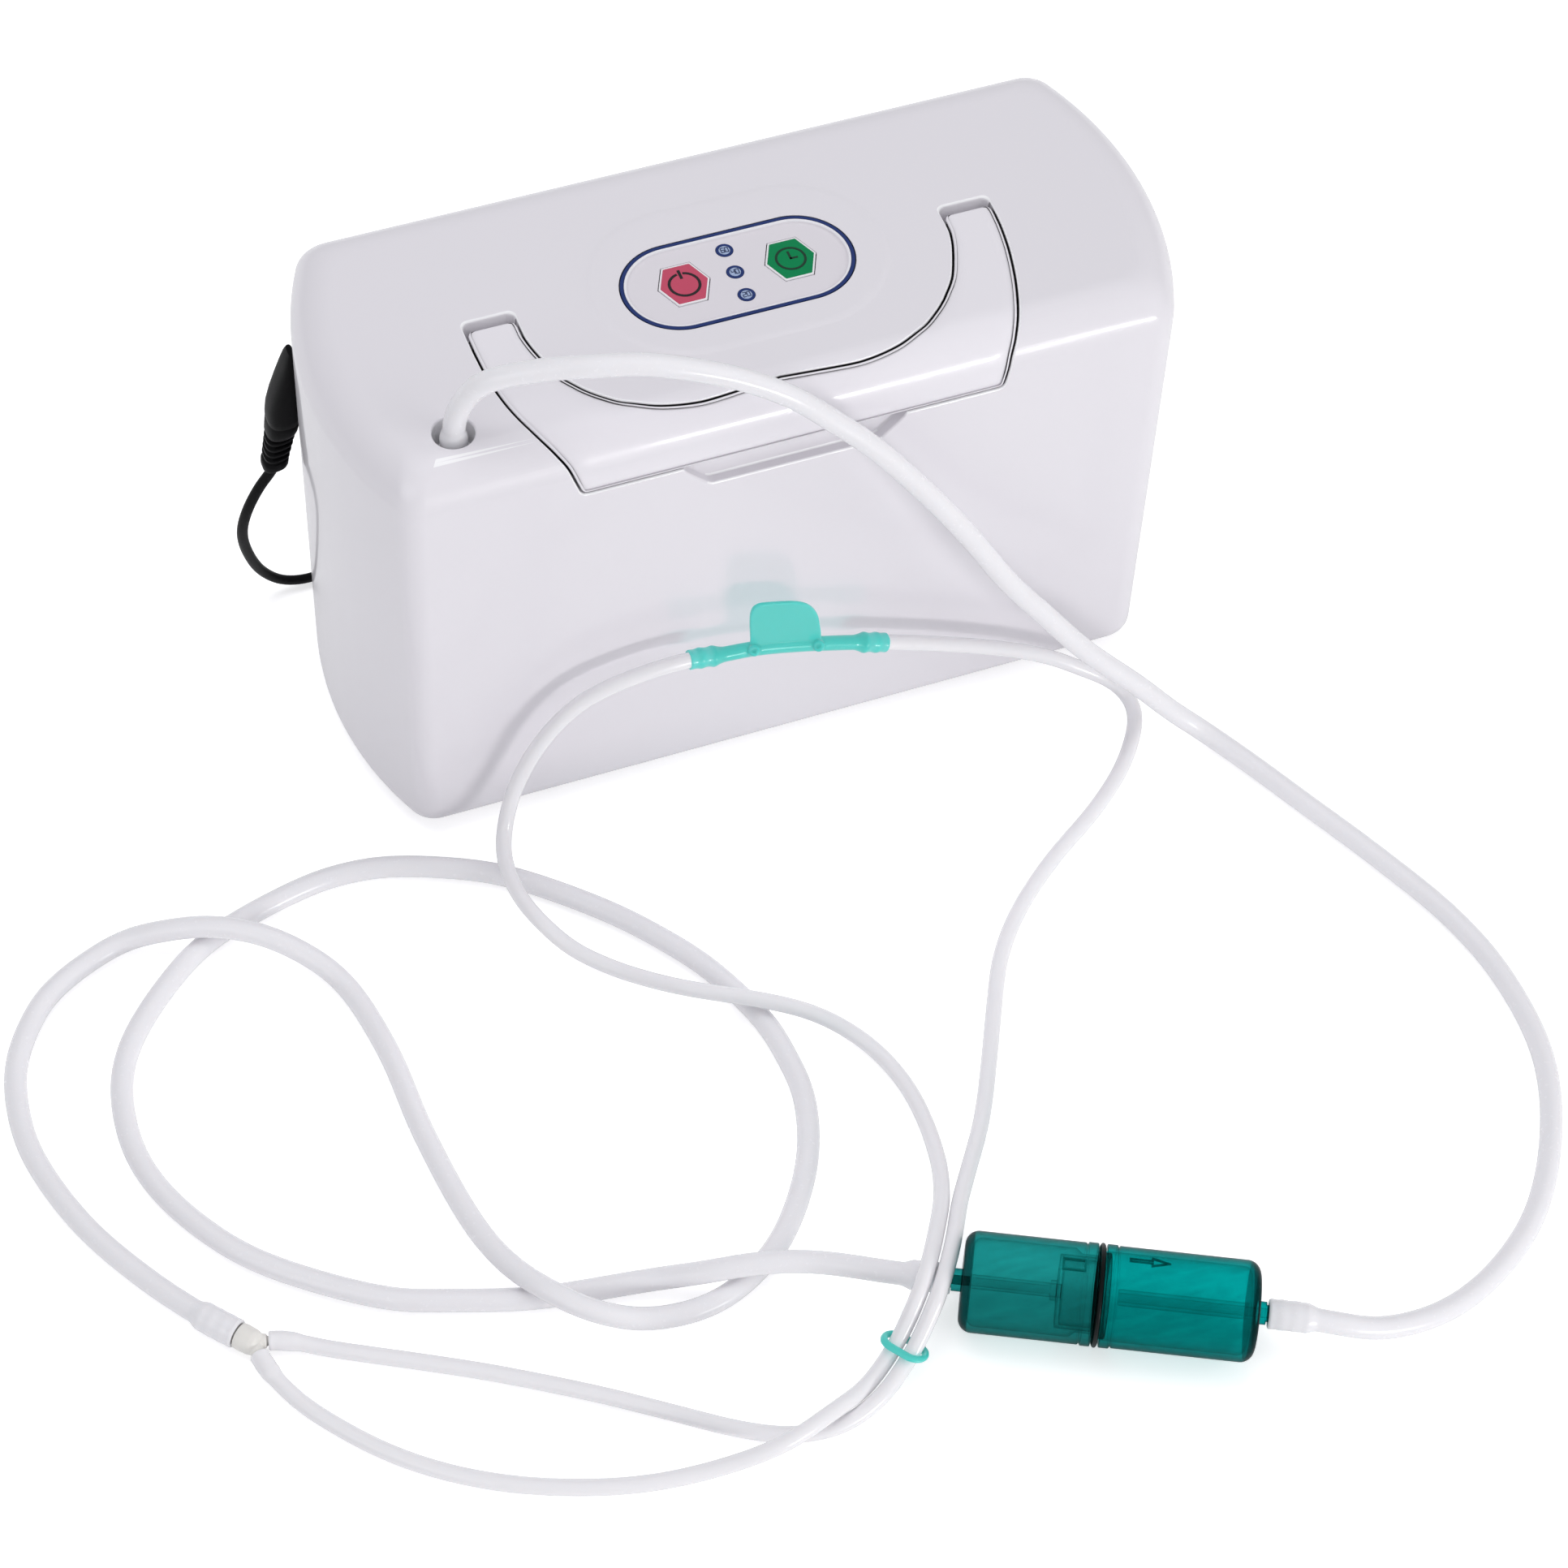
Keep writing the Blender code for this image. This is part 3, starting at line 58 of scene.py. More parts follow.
SCREWS = [(sx * 66, sy * 24) for sx in (-1, 1) for sy in (-1, 1)]
JACK = (34.5, 84)                   # y, z of the DC jack on the left end
HOSE_R, HOSE_IR, CUFF_R, CUFF_IR = 2.7, 1.8, 3.5, 2.75
TUBE_R, TUBE_IR = 1.95, 1.15
BOTTLE_A, BOTTLE_B = (-20.0, -213.4), (40.7, -243.7)    # points on the bottle axis
BOTTLE_Z, BOTTLE_R, BOTTLE_L = 11.9, 11.7, 67.8
NASAL_Y = -52.0

# Handle outlines, right half: x and s, the distance from the centre line of the top,
# measured forwards over the casing surface.
HANDLE_T, HANDLE_GAP = 6.0, 0.5
NOSE_S, NOSE_R = 3.4, 3.0           # rounded underside of the arm ends
HANDLE_OUT = [
    (65.75, 3.4), (65.5, 9), (64.6, 17), (62.6, 26), (59.55, 35), (56.55, 41.5), (54.55, 45.9),
    (53.3, 51), (52.4, 54.6), (46, 55), (38, 55), (29, 55), (20, 55), (10, 55), (0, 55)]
HANDLE_IN = [
    (53.9, 3.4), (53.7, 7), (52.4, 12.5), (49.6, 20), (46.1, 25.1), (44.0, 27.6), (41.6, 29.9),
    (38.3, 32.6), (34.7, 34.5), (30.6, 36.3), (26.3, 37.4), (21.5, 38.1), (17, 38.2),
    (8, 37.6), (0, 37)]
# shift of the U to the left, as (s, shift)
HANDLE_LEAN = [(0, 1.2), (9, 1.4), (17, 1.85), (26, 2.3), (35, 2.5), (38, 2.3),
               (41.5, 1.75), (46, 1.45), (51, 0.95), (55, 0.5)]
ARM_SHIFT = -1.3                    # of the reliefs at both arm ends
NOTCH_Z, NOTCH_D = 105.4, 2.8       # ledge level and depth of the finger notch

# Centre line of the nasal piece (x, z), and of the hoses and the lead (x, y, z).
NASAL = [(-29.3, 52.8), (-25.5, 52.3), (-21.8, 51.6), (-12, 50.4), (-3.6, 48.3),
         (5, 45.6), (14.1, 42.4), (18.5, 40.7), (22.7, 39.0)]
OUTLET_PATH = [
    (-79.4, -29.6, 121), (-79.4, -29.6, 128), (-79, -29.7, 133.5), (-77, -30.5, 139.5),
    (-73.2, -32.3, 145.9), (-60.6, -37.1, 150.8), (-50, -41.3, 152.6), (-39.1, -43.5, 151.9),
    (-27.8, -45.8, 148.6), (-16.5, -47.9, 143.6), (-4.7, -50.6, 136.2), (5.5, -52.5, 126),
    (13, -54.5, 118.5), (25, -57.5, 103), (37.5, -61, 84.5), (49, -64, 65), (59, -67, 51.5),
    (69, -69.5, 38), (84, -73.5, 22), (93, -76, 11.5), (100.5, -79.5, 4.8), (108, -91, 3),
    (115.5, -106.5, 3), (127, -130.5, 3), (136, -152.5, 3), (140, -172, 3), (139, -196.5, 3),
    (130.5, -218, 3), (116.5, -237, 3), (100, -248.5, 3), (83.5, -254.5, 5), (67, -255, 8),
    (57, -251.9, 11), (51, -248.9, 11.9), (42.9, -244.8, 11.9)]
SUPPLY_PATH = [
    (-22.2, -212.3, 11.9), (-27.5, -209.65, 11.9), (-33.1, -206.6, 11.6), (-49.5, -196, 9),
    (-62.5, -192, 9), (-73.5, -189.5, 7.5), (-85.5, -185, 3.5), (-112, -180.5, 3),
    (-129.5, -175, 3), (-143.5, -169.5, 3), (-168.5, -150.5, 3), (-178.5, -137.5, 3),
    (-185.5, -123, 3), (-188, -110, 3), (-186, -93, 3), (-180, -81, 3), (-164, -65, 3),
    (-152.5, -58, 3), (-127.5, -51, 3), (-117, -50.5, 3), (-107, -52, 3), (-86.5, -60.5, 3),
    (-77, -67, 3), (-60.5, -82.5, 3), (-51.5, -93.5, 3), (-43, -106.5, 3), (-35.5, -125.5, 3),
    (-34, -136.5, 3), (-34, -149, 3), (-39.5, -166, 3), (-51.5, -183, 3), (-62, -191, 3),
    (-74, -195.5, 3), (-89, -195, 4), (-100.5, -191.5, 8), (-109, -183.5, 9),
    (-115, -173.5, 7.5), (-119, -158.5, 4), (-122.5, -129.5, 3), (-123.5, -104, 3),
    (-127.5, -82.5, 3), (-132.5, -74.5, 5), (-142.5, -66, 8.5), (-154, -59.5, 9),
    (-165.5, -55.5, 7), (-175.5, -53, 3.5), (-194.5, -61, 3), (-202.5, -69.5, 3),
    (-208.5, -80.5, 3), (-211, -94.5, 3), (-210.5, -106, 3), (-204.5, -127, 3),
    (-194.5, -146, 3), (-185.1, -159.9, 3.5), (-178.8, -167.35, 3.42)]
PAIR = [(-47.8, -230.0, 4.3), (-39.6, -224.7, 6.5), (-34.6, -221.0, 10.5), (-29.3, -216.4, 17),
        (-23.7, -208.8, 18), (-18.9, -200.8, 15), (-14.0, -192.0, 10.5), (-8.6, -181.4, 5.2)]
PAIR_HALF, PAIR_SPREAD = 2.12, 1.2  # half spacing, and what the last point adds to it


def pair_side(sign):
    """One cannula tube of the pair that runs side by side over the hose."""
    out = []
    last = len(PAIR) - 1
    for i, (x, y, z) in enumerate(PAIR):
        before, after = PAIR[max(i - 1, 0)], PAIR[min(i + 1, last)]
        dx, dy = after[0] - before[0], after[1] - before[1]
        length = math.hypot(dx, dy)
        side = sign * (PAIR_HALF + (PAIR_SPREAD if i == last else 0.0))
        out.append((x + side * dy / length, y - side * dx / length, z))
    return out


TUBE_A_PATH = [
    (-172.6, -171.2, 3.2), (-168.2, -172.45, 3), (-162, -176, 2.1), (-153, -181, 2.1),
    (-141, -187.5, 2.1), (-128.5, -194.5, 2.1), (-115.5, -202.5, 2.1), (-104, -210, 2.1),
    (-88.5, -221, 2.1), (-80, -227, 2.1), (-69, -232.7, 2.1), (-57, -234.4, 2.1),
    *pair_side(1), (4, -168.5, 2.2), (12.5, -152.5, 2.1), (19, -139.5, 2.1),
    (26, -126.5, 2.1), (34.5, -116, 2.1), (44.5, -107, 2.1), (54, -100, 2.1),
    (62.5, -94.5, 2.1), (71, -88, 2.1), (78.5, -81, 2.2), (84, -74, 3), (87, -68.5, 3.5),
    (87.5, -62.5, 4), (84.5, -58, 6), (77.5, -55, 10), (70, -53, 15), (59, -52, 21.5),
    (47, -52, 28), (36, -52, 33.3), (26, -52, 37.7), (18.4, -52, 40.8)]
TUBE_B_PATH = [
    (-175.6, -173.8, 3.2), (-174.75, -178.4, 2.95), (-170, -188.5, 2.1), (-165.5, -195, 2.1),
    (-159, -203, 2.1), (-152, -210, 2.1), (-143, -217, 2.1), (-132, -223.5, 2.1),
    (-120.5, -228.5, 2.1), (-108, -232.5, 2.1), (-97.5, -234.5, 2.1), (-86, -236, 3.5),
    (-76.5, -237, 6), (-69, -236.3, 7), (-62, -234, 7), (-55, -231.2, 6), *pair_side(-1),
    (-9.6, -171.5, 2.3), (-9, -164.5, 2.1), (-9.5, -154, 2.1), (-12.5, -143, 2.3),
    (-17.5, -135, 3.5), (-24.5, -129.5, 6.5), (-33.5, -124.5, 8.6), (-50.5, -114, 7.8),
    (-58, -106.5, 5), (-65.5, -98.5, 3.2), (-73, -91.5, 5.2), (-77.5, -85, 8),
    (-80.5, -76.5, 8.8), (-81, -66, 8.8), (-79.5, -58.5, 9), (-76, -53.5, 17),
    (-72, -52, 26.5), (-67.5, -52, 35.5), (-61, -52, 44), (-54, -52, 49), (-45.5, -52, 51.5),
    (-38, -52, 52.6), (-31, -52, 52.9), (-25.0, -52, 52.2)]
LEAD_PATH = [
    (-106.8, 35, 63.2), (-107.15, 35, 60.0), (-108.4, 35.1, 57.2), (-111, 35.3, 53.5),
    (-115.0, 36.0, 44.5), (-116.6, 38.0, 34), (-114.5, 41.5, 20), (-110.5, 44.3, 9),
    (-105.5, 45.0, 3.4), (-99, 44.6, 2.2), (-90, 46.5, 2.2), (-75, 52.5, 2.2),
    (-58, 56.6, 3.0), (-51, 57.1, 4.5), (-43.5, 57.5, 4.7)]


# --------------------------------------------------------------- materials
def node(tree, kind, **settings):
    """Adds a node; each setting is an input where one has that name, else a property."""
    made = tree.nodes.new(kind)
    for key, value in settings.items():
        if key in made.inputs:
            made.inputs[key].default_value = value
        else:
            setattr(made, key, value)
    return made


def map_range(tree, value, to_min=0.0, to_max=1.0, from_min=0.0, from_max=1.0):
    ramp = node(tree, "ShaderNodeMapRange", **{"From Min": from_min, "From Max": from_max,
                                               "To Min": to_min, "To Max": to_max})
    tree.links.new(value, ramp.inputs["Value"])
    return ramp.outputs["Result"]


def multiply(tree, colour, shade, amount=None):
    mix = node(tree, "ShaderNodeMix", data_type="RGBA", blend_type="MULTIPLY")
    mix.inputs[0].default_value = 1.0
    if amount:
        tree.links.new(amount, mix.inputs[0])
    tree.links.new(colour, mix.inputs[6])
    tree.links.new(shade, mix.inputs[7])
    return mix.outputs[2]


def material(name, base, rough=0.35, vary=0.03, scale=45.0, rough_vary=0.05, bump=0.15,
             bump_mm=0.01, bump_scale=1500.0, metal=0.0, coat=0.0, coat_rough=0.08, sss=0.0,
             sss_mm=2.0, spec=0.5, tint=None, sheen=0.0, hollow_shade=0.0, seam=0.0, gap_shade_z=None):
    """Principled surface. Noise of size scale varies the colour by the share vary (or from
    tint); fine noise of size bump_scale drives roughness and bump. hollow_shade paints shade
    into hollows through pointiness; seam paints shade into narrow gaps through ambient
    occlusion, growing over the levels gap_shade_z."""
    mat = bpy.data.materials.new(name)
    mat.use_nodes = True
    tree = mat.node_tree
    link = tree.links.new
    shader = tree.nodes["Principled BSDF"]
    coords = node(tree, "ShaderNodeTexCoord").outputs["Object"]
    broad = node(tree, "ShaderNodeTexNoise", Scale=scale, Detail=4.0, Roughness=0.55)
    fine = node(tree, "ShaderNodeTexNoise", Scale=bump_scale, Detail=3.0, Roughness=0.6)
    link(coords, broad.inputs["Vector"])
    link(coords, fine.inputs["Vector"])
    mix = node(tree, "ShaderNodeMix", data_type="RGBA")
    mix.inputs[6].default_value = (*(tint or [c * (1.0 - vary) for c in base]), 1)
    mix.inputs[7].default_value = (*[min(1.0, c * (1.0 + vary)) for c in base], 1)
    link(broad.outputs["Fac"], mix.inputs[0])
    colour = mix.outputs[2]
    # painted shade: the colour is darkened in hollows, found through pointiness
    if hollow_shade > 0:
        point = node(tree, "ShaderNodeNewGeometry").outputs["Pointiness"]
        colour = multiply(tree, colour, map_range(tree, point, to_min=1.0 - hollow_shade,
                                                  from_min=0.5, from_max=0.5))
    # painted shade: the colour is darkened in narrow gaps, found through ambient occlusion
    if seam > 0:
        occlusion = node(tree, "ShaderNodeAmbientOcclusion", samples=8, Distance=1.8 * MM)
        shade = map_range(tree, occlusion.outputs["AO"], to_min=1.0 - seam,
                          from_min=0.34, from_max=0.60)
        amount = None
        if gap_shade_z:
            split = node(tree, "ShaderNodeSeparateXYZ")
            link(coords, split.inputs[0])
            amount = map_range(tree, split.outputs["Z"], to_min=0.12,
                               from_min=gap_shade_z[0] * MM, from_max=gap_shade_z[1] * MM)
        colour = multiply(tree, colour, shade, amount)
    link(colour, shader.inputs["Base Color"])
    link(map_range(tree, fine.outputs["Fac"], to_min=max(0.0, rough - rough_vary),
                   to_max=min(1.0, rough + rough_vary)), shader.inputs["Roughness"])
    relief = node(tree, "ShaderNodeBump", Strength=bump, Distance=bump_mm * MM)
    link(fine.outputs["Fac"], relief.inputs["Height"])
    link(relief.outputs["Normal"], shader.inputs["Normal"])
    values = {"Metallic": metal, "Coat Weight": coat, "Coat Roughness": coat_rough,
              "IOR": 1.46, "Specular IOR Level": spec, "Sheen Weight": sheen}
    if sss > 0:
        values.update({"Subsurface Weight": sss, "Subsurface Radius": (1.0, 0.9, 0.85),
                       "Subsurface Scale": sss_mm * MM})
    for key, value in values.items():
        shader.inputs[key].default_value = value
    mat.diffuse_color = (*base, 1.0)
    return mat


def mix_shaders(tree, factor, first, second):
    """Makes the surface go from the first shader to the second by the factor."""
    mix = node(tree, "ShaderNodeMixShader")
    for i, source in enumerate((factor, first, second)):
        tree.links.new(source, mix.inputs[i])
    tree.links.new(mix.outputs[0], tree.nodes["Material Output"].inputs["Surface"])


def tinted(name, tint, edge, body, body_w=0.05, edge_w=0.5, streak=0.12):
    """Thin clear tinted wall: denser where it is seen edge-on (body_w to edge_w of the
    glossy shader), with faint flow lines along the bottle."""
    mat = material(name, body, rough=0.05, vary=0.08, scale=80, rough_vary=0.02, bump=0.05,
                   bump_scale=260, coat=0.25, coat_rough=0.03, spec=0.35)
    tree = mat.node_tree
    link = tree.links.new
    coords = node(tree, "ShaderNodeTexCoord")
    stretch = node(tree, "ShaderNodeMapping", Rotation=(0.0, 0.0, 0.463), Scale=(0.12, 1.0, 1.0))
    noise = node(tree, "ShaderNodeTexNoise", Scale=520.0, Detail=2.0)
    link(coords.outputs["Object"], stretch.inputs["Vector"])
    link(stretch.outputs["Vector"], noise.inputs["Vector"])
    facing = node(tree, "ShaderNodeLayerWeight", Blend=0.5)
    power = node(tree, "ShaderNodeMath", operation="POWER")
    power.inputs[1].default_value = 3.0
    link(facing.outputs["Facing"], power.inputs[0])
    edge_on = power.outputs[0]
    lines = map_range(tree, noise.outputs["Fac"], to_max=streak, from_min=0.35, from_max=0.65)
    add = node(tree, "ShaderNodeMath", operation="ADD", use_clamp=True)
    link(edge_on, add.inputs[0])
    link(lines, add.inputs[1])
    colour = node(tree, "ShaderNodeMix", data_type="RGBA")
    colour.inputs[6].default_value = (*tint, 1)
    colour.inputs[7].default_value = (*edge, 1)
    link(add.outputs[0], colour.inputs[0])
    clear = node(tree, "ShaderNodeBsdfTransparent")
    link(colour.outputs[2], clear.inputs["Color"])
    mix_shaders(tree, map_range(tree, edge_on, to_min=body_w, to_max=edge_w), clear.outputs[0],
                tree.nodes["Principled BSDF"].outputs[0])
    return mat


def pale_shadow(mat):
    """Lets most light through in shadow rays, so the shadow stays pale and green."""
    tree = mat.node_tree
    path = node(tree, "ShaderNodeLightPath")
    share = node(tree, "ShaderNodeMath", operation="MULTIPLY")
    share.inputs[1].default_value = 0.88
    tree.links.new(path.outputs["Is Shadow Ray"], share.inputs[0])
    clear = node(tree, "ShaderNodeBsdfTransparent", Color=(0.62, 0.96, 0.93, 1))
    mix_shaders(tree, share.outputs[0], tree.nodes["Principled BSDF"].outputs[0],
                clear.outputs[0])


WHITE = (0.800, 0.776, 0.821)
# painted shade: the gaps round the handle are darkened, most near the top
GLOSS = dict(rough=0.30, vary=0.006, rough_vary=0.04, bump=0.10, bump_mm=0.012, bump_scale=700,
             coat=0.6, coat_rough=0.06, seam=0.95, gap_shade_z=(113.9, 117.5))
KEY_FILM = dict(rough=0.5, scale=160, bump=0.35, bump_mm=0.012, bump_scale=5200)
GLYPH = dict(rough=0.45, vary=0.1, scale=200, bump=0.1)
SOFT_PVC = dict(bump=0.12, coat=0.35, coat_rough=0.10, sss=0.35)
INNER = dict(body_w=0.02)
MAT = {
    # painted shade: the casing's hollows are darkened
    "casing": material("casing_gloss_white", WHITE, scale=14, hollow_shade=0.05, **GLOSS),
    "handle": material("handle_gloss_white", WHITE, scale=16, **GLOSS),
    # painted shade: the right arm's deep pocket wall is coloured dark grey for the shadow in the
    # gap
    "pocket_shade": material("pocket_wall_painted_shade", (0.50, 0.485, 0.515), rough=0.6, scale=40,
                            rough_vary=0.04, bump=0.1, bump_scale=700, seam=0.9),
    # painted highlight: a lighter white on lips, the notch fillet and in the outlet hole, for the
    # light they catch
    "edge": material("edge_painted_highlight_white", (0.93, 0.925, 0.945), rough=0.22, vary=0.006,
                     scale=14, rough_vary=0.04, bump=0.05, bump_scale=700, coat=0.8,
                     coat_rough=0.05),
    # painted shade: the cover's hollows and slots are darkened
    "cover": material("cover_satin_white", (0.760, 0.737, 0.786), rough=0.42, vary=0.012,
                      scale=22, rough_vary=0.06, bump=0.35, bump_mm=0.02, bump_scale=2600,
                      hollow_shade=0.1, seam=0.85),
    "navy": material("panel_navy_print", (0.011, 0.030, 0.145), rough=0.32, vary=0.08,
                     scale=90, bump=0.05, spec=0.35),
    "label": material("panel_film", (0.72, 0.69, 0.735), rough=0.45, vary=0.01, scale=60,
                      rough_vary=0.07, bump=0.25, bump_mm=0.012, bump_scale=5200),
    "label_rim": material("panel_rim_white", (0.80, 0.79, 0.83), rough=0.32, vary=0.008,
                          scale=40, bump=0.08),
    "key_border": material("key_border_white", (0.82, 0.81, 0.84), rough=0.4, vary=0.01,
                           scale=60, bump_scale=4000),
    "key_red": material("key_rose", (0.53, 0.075, 0.135), vary=0.04, spec=0.25, **KEY_FILM),
    "key_green": material("key_green", (0.0, 0.215, 0.072), vary=0.05, spec=0.2, **KEY_FILM),
    "glyph": material("glyph_black", (0.012, 0.010, 0.012), **GLYPH),
    "glyph_green": material("glyph_dark_green", (0.002, 0.035, 0.016), **GLYPH),
    "led": material("led_lens_blue", (0.33, 0.42, 0.62), rough=0.22, vary=0.10, scale=500,
                    bump=0.1, coat=0.4),
    "led_digit": material("led_digit", (0.035, 0.05, 0.12), rough=0.4, vary=0.1, scale=300,
                          bump=0.1),
    "hose": material("hose_milky_pvc", (0.84, 0.825, 0.855), rough=0.26, vary=0.015, scale=30,
                     bump_scale=900, sss_mm=1.6, **SOFT_PVC),
    "tube": material("cannula_milky_pvc", (0.85, 0.835, 0.86), rough=0.24, vary=0.012,
                     scale=40, bump_scale=1200, sss_mm=1.2, **SOFT_PVC),
    "bottle_l": tinted("bottle_clear_teal", tint=(0.115, 0.565, 0.555),
                       edge=(0.02, 0.17, 0.165), body=(0.004, 0.05, 0.048)),
    "bottle_r": tinted("bottle_deep_teal", tint=(0.018, 0.60, 0.59),
                       edge=(0.004, 0.14, 0.14), body=(0.001, 0.05, 0.05)),
    "end_l": tinted("bottle_clear_end", tint=(0.07, 0.30, 0.30),
                    edge=(0.005, 0.06, 0.06), body=(0.002, 0.03, 0.03)),
    "end_r": tinted("bottle_deep_end", tint=(0.03, 0.29, 0.29),
                    edge=(0.002, 0.05, 0.05), body=(0.001, 0.025, 0.025)),
    "inner": tinted("bottle_inner_parts", tint=(0.955, 0.985, 0.985), edge=(0.42, 0.70, 0.69),
                    body=(0.004, 0.06, 0.058), edge_w=0.15, streak=0.03, **INNER),
    "wall": tinted("bottle_inner_wall", tint=(0.985, 0.995, 0.995), edge=(0.45, 0.78, 0.77),
                   body=(0.01, 0.09, 0.09), edge_w=0.10, streak=0.0, **INNER),
    "insert": material("insert_teal", (0.17, 0.52, 0.49), rough=0.25, vary=0.08, scale=120,
                       rough_vary=0.04, bump=0.1, bump_scale=800),
    "o_ring": material("o_ring_black", (0.001, 0.002, 0.002), rough=0.40, vary=0.2, scale=400,
                       bump=0.3, bump_scale=4000, spec=0.2),
    "aqua": material("soft_aqua_pvc", (0.065, 0.56, 0.505), rough=0.30, scale=60,
                     rough_vary=0.04, bump=0.08, bump_scale=500, sss=0.6, sss_mm=2.4,
                     coat=0.25, tint=(0.09, 0.60, 0.55)),
    "cream": material("fitting_cream", (0.800, 0.782, 0.750), rough=0.36, vary=0.02, scale=110,
                      bump=0.2, bump_mm=0.015, bump_scale=1800, sss=0.3, sss_mm=1.0),
    "black": material("plug_black", (0.0015, 0.0015, 0.002), rough=0.45, vary=0.25, scale=160,
                      rough_vary=0.08, bump=0.5, bump_mm=0.02, bump_scale=2600, spec=0.13),
    "cord": material("cord_black", (0.0015, 0.0015, 0.002), rough=0.42, vary=0.25, scale=90,
                     rough_vary=0.08, bump=0.35, bump_mm=0.02, bump_scale=1200, spec=0.15),
    "pad": material("pad_black_rubber", (0.022, 0.022, 0.023), rough=0.82, vary=0.25,
                    scale=220, rough_vary=0.1, bump=0.8, bump_mm=0.06, bump_scale=2200),
    "foam": material("filter_foam", (0.05, 0.05, 0.055), rough=0.95, vary=0.6, scale=1400,
                     rough_vary=0.04, bump=1.0, bump_mm=0.4, bump_scale=1300, sheen=0.3),
    "steel": material("satin_steel", (0.56, 0.56, 0.58), rough=0.34, vary=0.06, scale=120,
                      rough_vary=0.12, bump=0.35, bump_scale=3200, metal=1.0),
    "cast": material("cast_aluminium", (0.55, 0.555, 0.57), rough=0.52, vary=0.10, scale=300,
                     rough_vary=0.10, bump=0.7, bump_mm=0.05, bump_scale=1700, metal=0.9),
    "column": material("column_coated", (0.56, 0.58, 0.60), rough=0.4, vary=0.04, scale=60,
                       bump=0.4, bump_scale=2200),
    "moulded": material("moulded_ivory", (0.66, 0.66, 0.61), rough=0.5, vary=0.05, scale=90,
                        bump=0.5, bump_scale=2600),
    "fan": material("fan_black", (0.02, 0.02, 0.022), rough=0.5, vary=0.2, scale=120,
                    bump=0.5, bump_scale=2600),
    "pcb": material("solder_mask", (0.010, 0.115, 0.045), rough=0.33, vary=0.35, scale=420,
                    bump=0.5, bump_mm=0.04, bump_scale=900, coat=0.3),
    "piston": material("filled_plastic", (0.20, 0.20, 0.22), rough=0.45, vary=0.15,
                       scale=260, bump=0.4),
    "barb": material("barb_white", (0.74, 0.74, 0.76), rough=0.4, vary=0.02, scale=120,
                     bump=0.3, bump_scale=2400),
}
pale_shadow(MAT["aqua"])


# ----------------------------------------------------------- mesh helpers
def edit_mesh(mesh, *steps):
    """Runs each step, a function of a bmesh, on the mesh."""
    work = bmesh.new()
    work.from_mesh(mesh)
    for step in steps:
        step(work)
    work.to_mesh(mesh)
    work.free()


def face_outward(work):
    bmesh.ops.recalc_face_normals(work, faces=work.faces)


def smooth(mesh, sharp):
    """Smooth shading, with edges over the angle sharp (degrees) kept crisp."""
    for face in mesh.polygons:
        face.use_smooth = True
    if sharp is not None:
        mesh.set_sharp_from_angle(angle=math.radians(sharp))


def link_object(name, mesh):
    ob = bpy.data.objects.new(name, mesh)
    bpy.context.scene.collection.objects.link(ob)
    return ob


def new_obj(name, verts, faces, mat=None, sharp=35.0):
    mesh = bpy.data.meshes.new(name)
    mesh.from_pydata([tuple(float(c) * MM for c in v) for v in verts], [], faces)
    mesh.validate()
    edit_mesh(mesh, face_outward)
    ob = link_object(name, mesh)
    smooth(mesh, sharp)
    if mat is not None:
        mesh.materials.append(mat)
    return ob


def to_tris(mesh):
    edit_mesh(mesh, lambda work: bmesh.ops.triangulate(work, faces=work.faces,
                                                       ngon_method="EAR_CLIP"))


def apply_modifiers(ob):
    bpy.context.view_layer.update()
    graph = bpy.context.evaluated_depsgraph_get()
    mesh = bpy.data.meshes.new_from_object(ob.evaluated_get(graph))
    ob.modifiers.clear()
    ob.data = mesh
    return ob


def boolean(ob, others, op="DIFFERENCE", tris=True):
    """Combines ob with each of the others, which are used up."""
    if tris:
        to_tris(ob.data)
    for other in others:
        if tris:
            to_tris(other.data)
        cut = ob.modifiers.new("cut", "BOOLEAN")
        cut.operation = op
        cut.solver = "EXACT"
        cut.object = other
        apply_modifiers(ob)
        if tris:
            to_tris(ob.data)
        bpy.data.objects.remove(other, do_unlink=True)
    return ob


def tidy(ob, sharp):
    """Merges the tiny slivers a boolean leaves."""
    dist = 0.003 * MM
    edit_mesh(ob.data,
              lambda work: bmesh.ops.remove_doubles(work, verts=work.verts, dist=dist),
              lambda work: bmesh.ops.dissolve_degenerate(work, dist=dist, edges=work.edges))
    smooth(ob.data, sharp)
    return ob


def weighted(ob):
    mod = ob.modifiers.new("wn", "WEIGHTED_NORMAL")
    mod.mode = "FACE_AREA"
    mod.keep_sharp = True
    mod.weight = 50
    return apply_modifiers(ob)


def set_mat(ob, mat):
    ob.data.materials.clear()
    ob.data.materials.append(mat)
    for face in ob.data.polygons:
        face.material_index = 0
    return ob


def paint(ob, mats, slot_of):
    """Adds materials and gives each face the slot that slot_of returns for it."""
    for mat in mats:
        ob.data.materials.append(MAT[mat])
    for face in ob.data.polygons:
        face.material_index = slot_of(face)


def voxel(ob, size_mm):
    """Melts overlapping parts into one soft skin."""
    remesh = ob.modifiers.new("rm", "REMESH")
    remesh.mode = "VOXEL"
    remesh.voxel_size = size_mm * MM
    soften = ob.modifiers.new("sm", "SMOOTH")
    soften.factor = 0.5
    soften.iterations = 5
    apply_modifiers(ob)
    smooth(ob.data, None)
    return ob


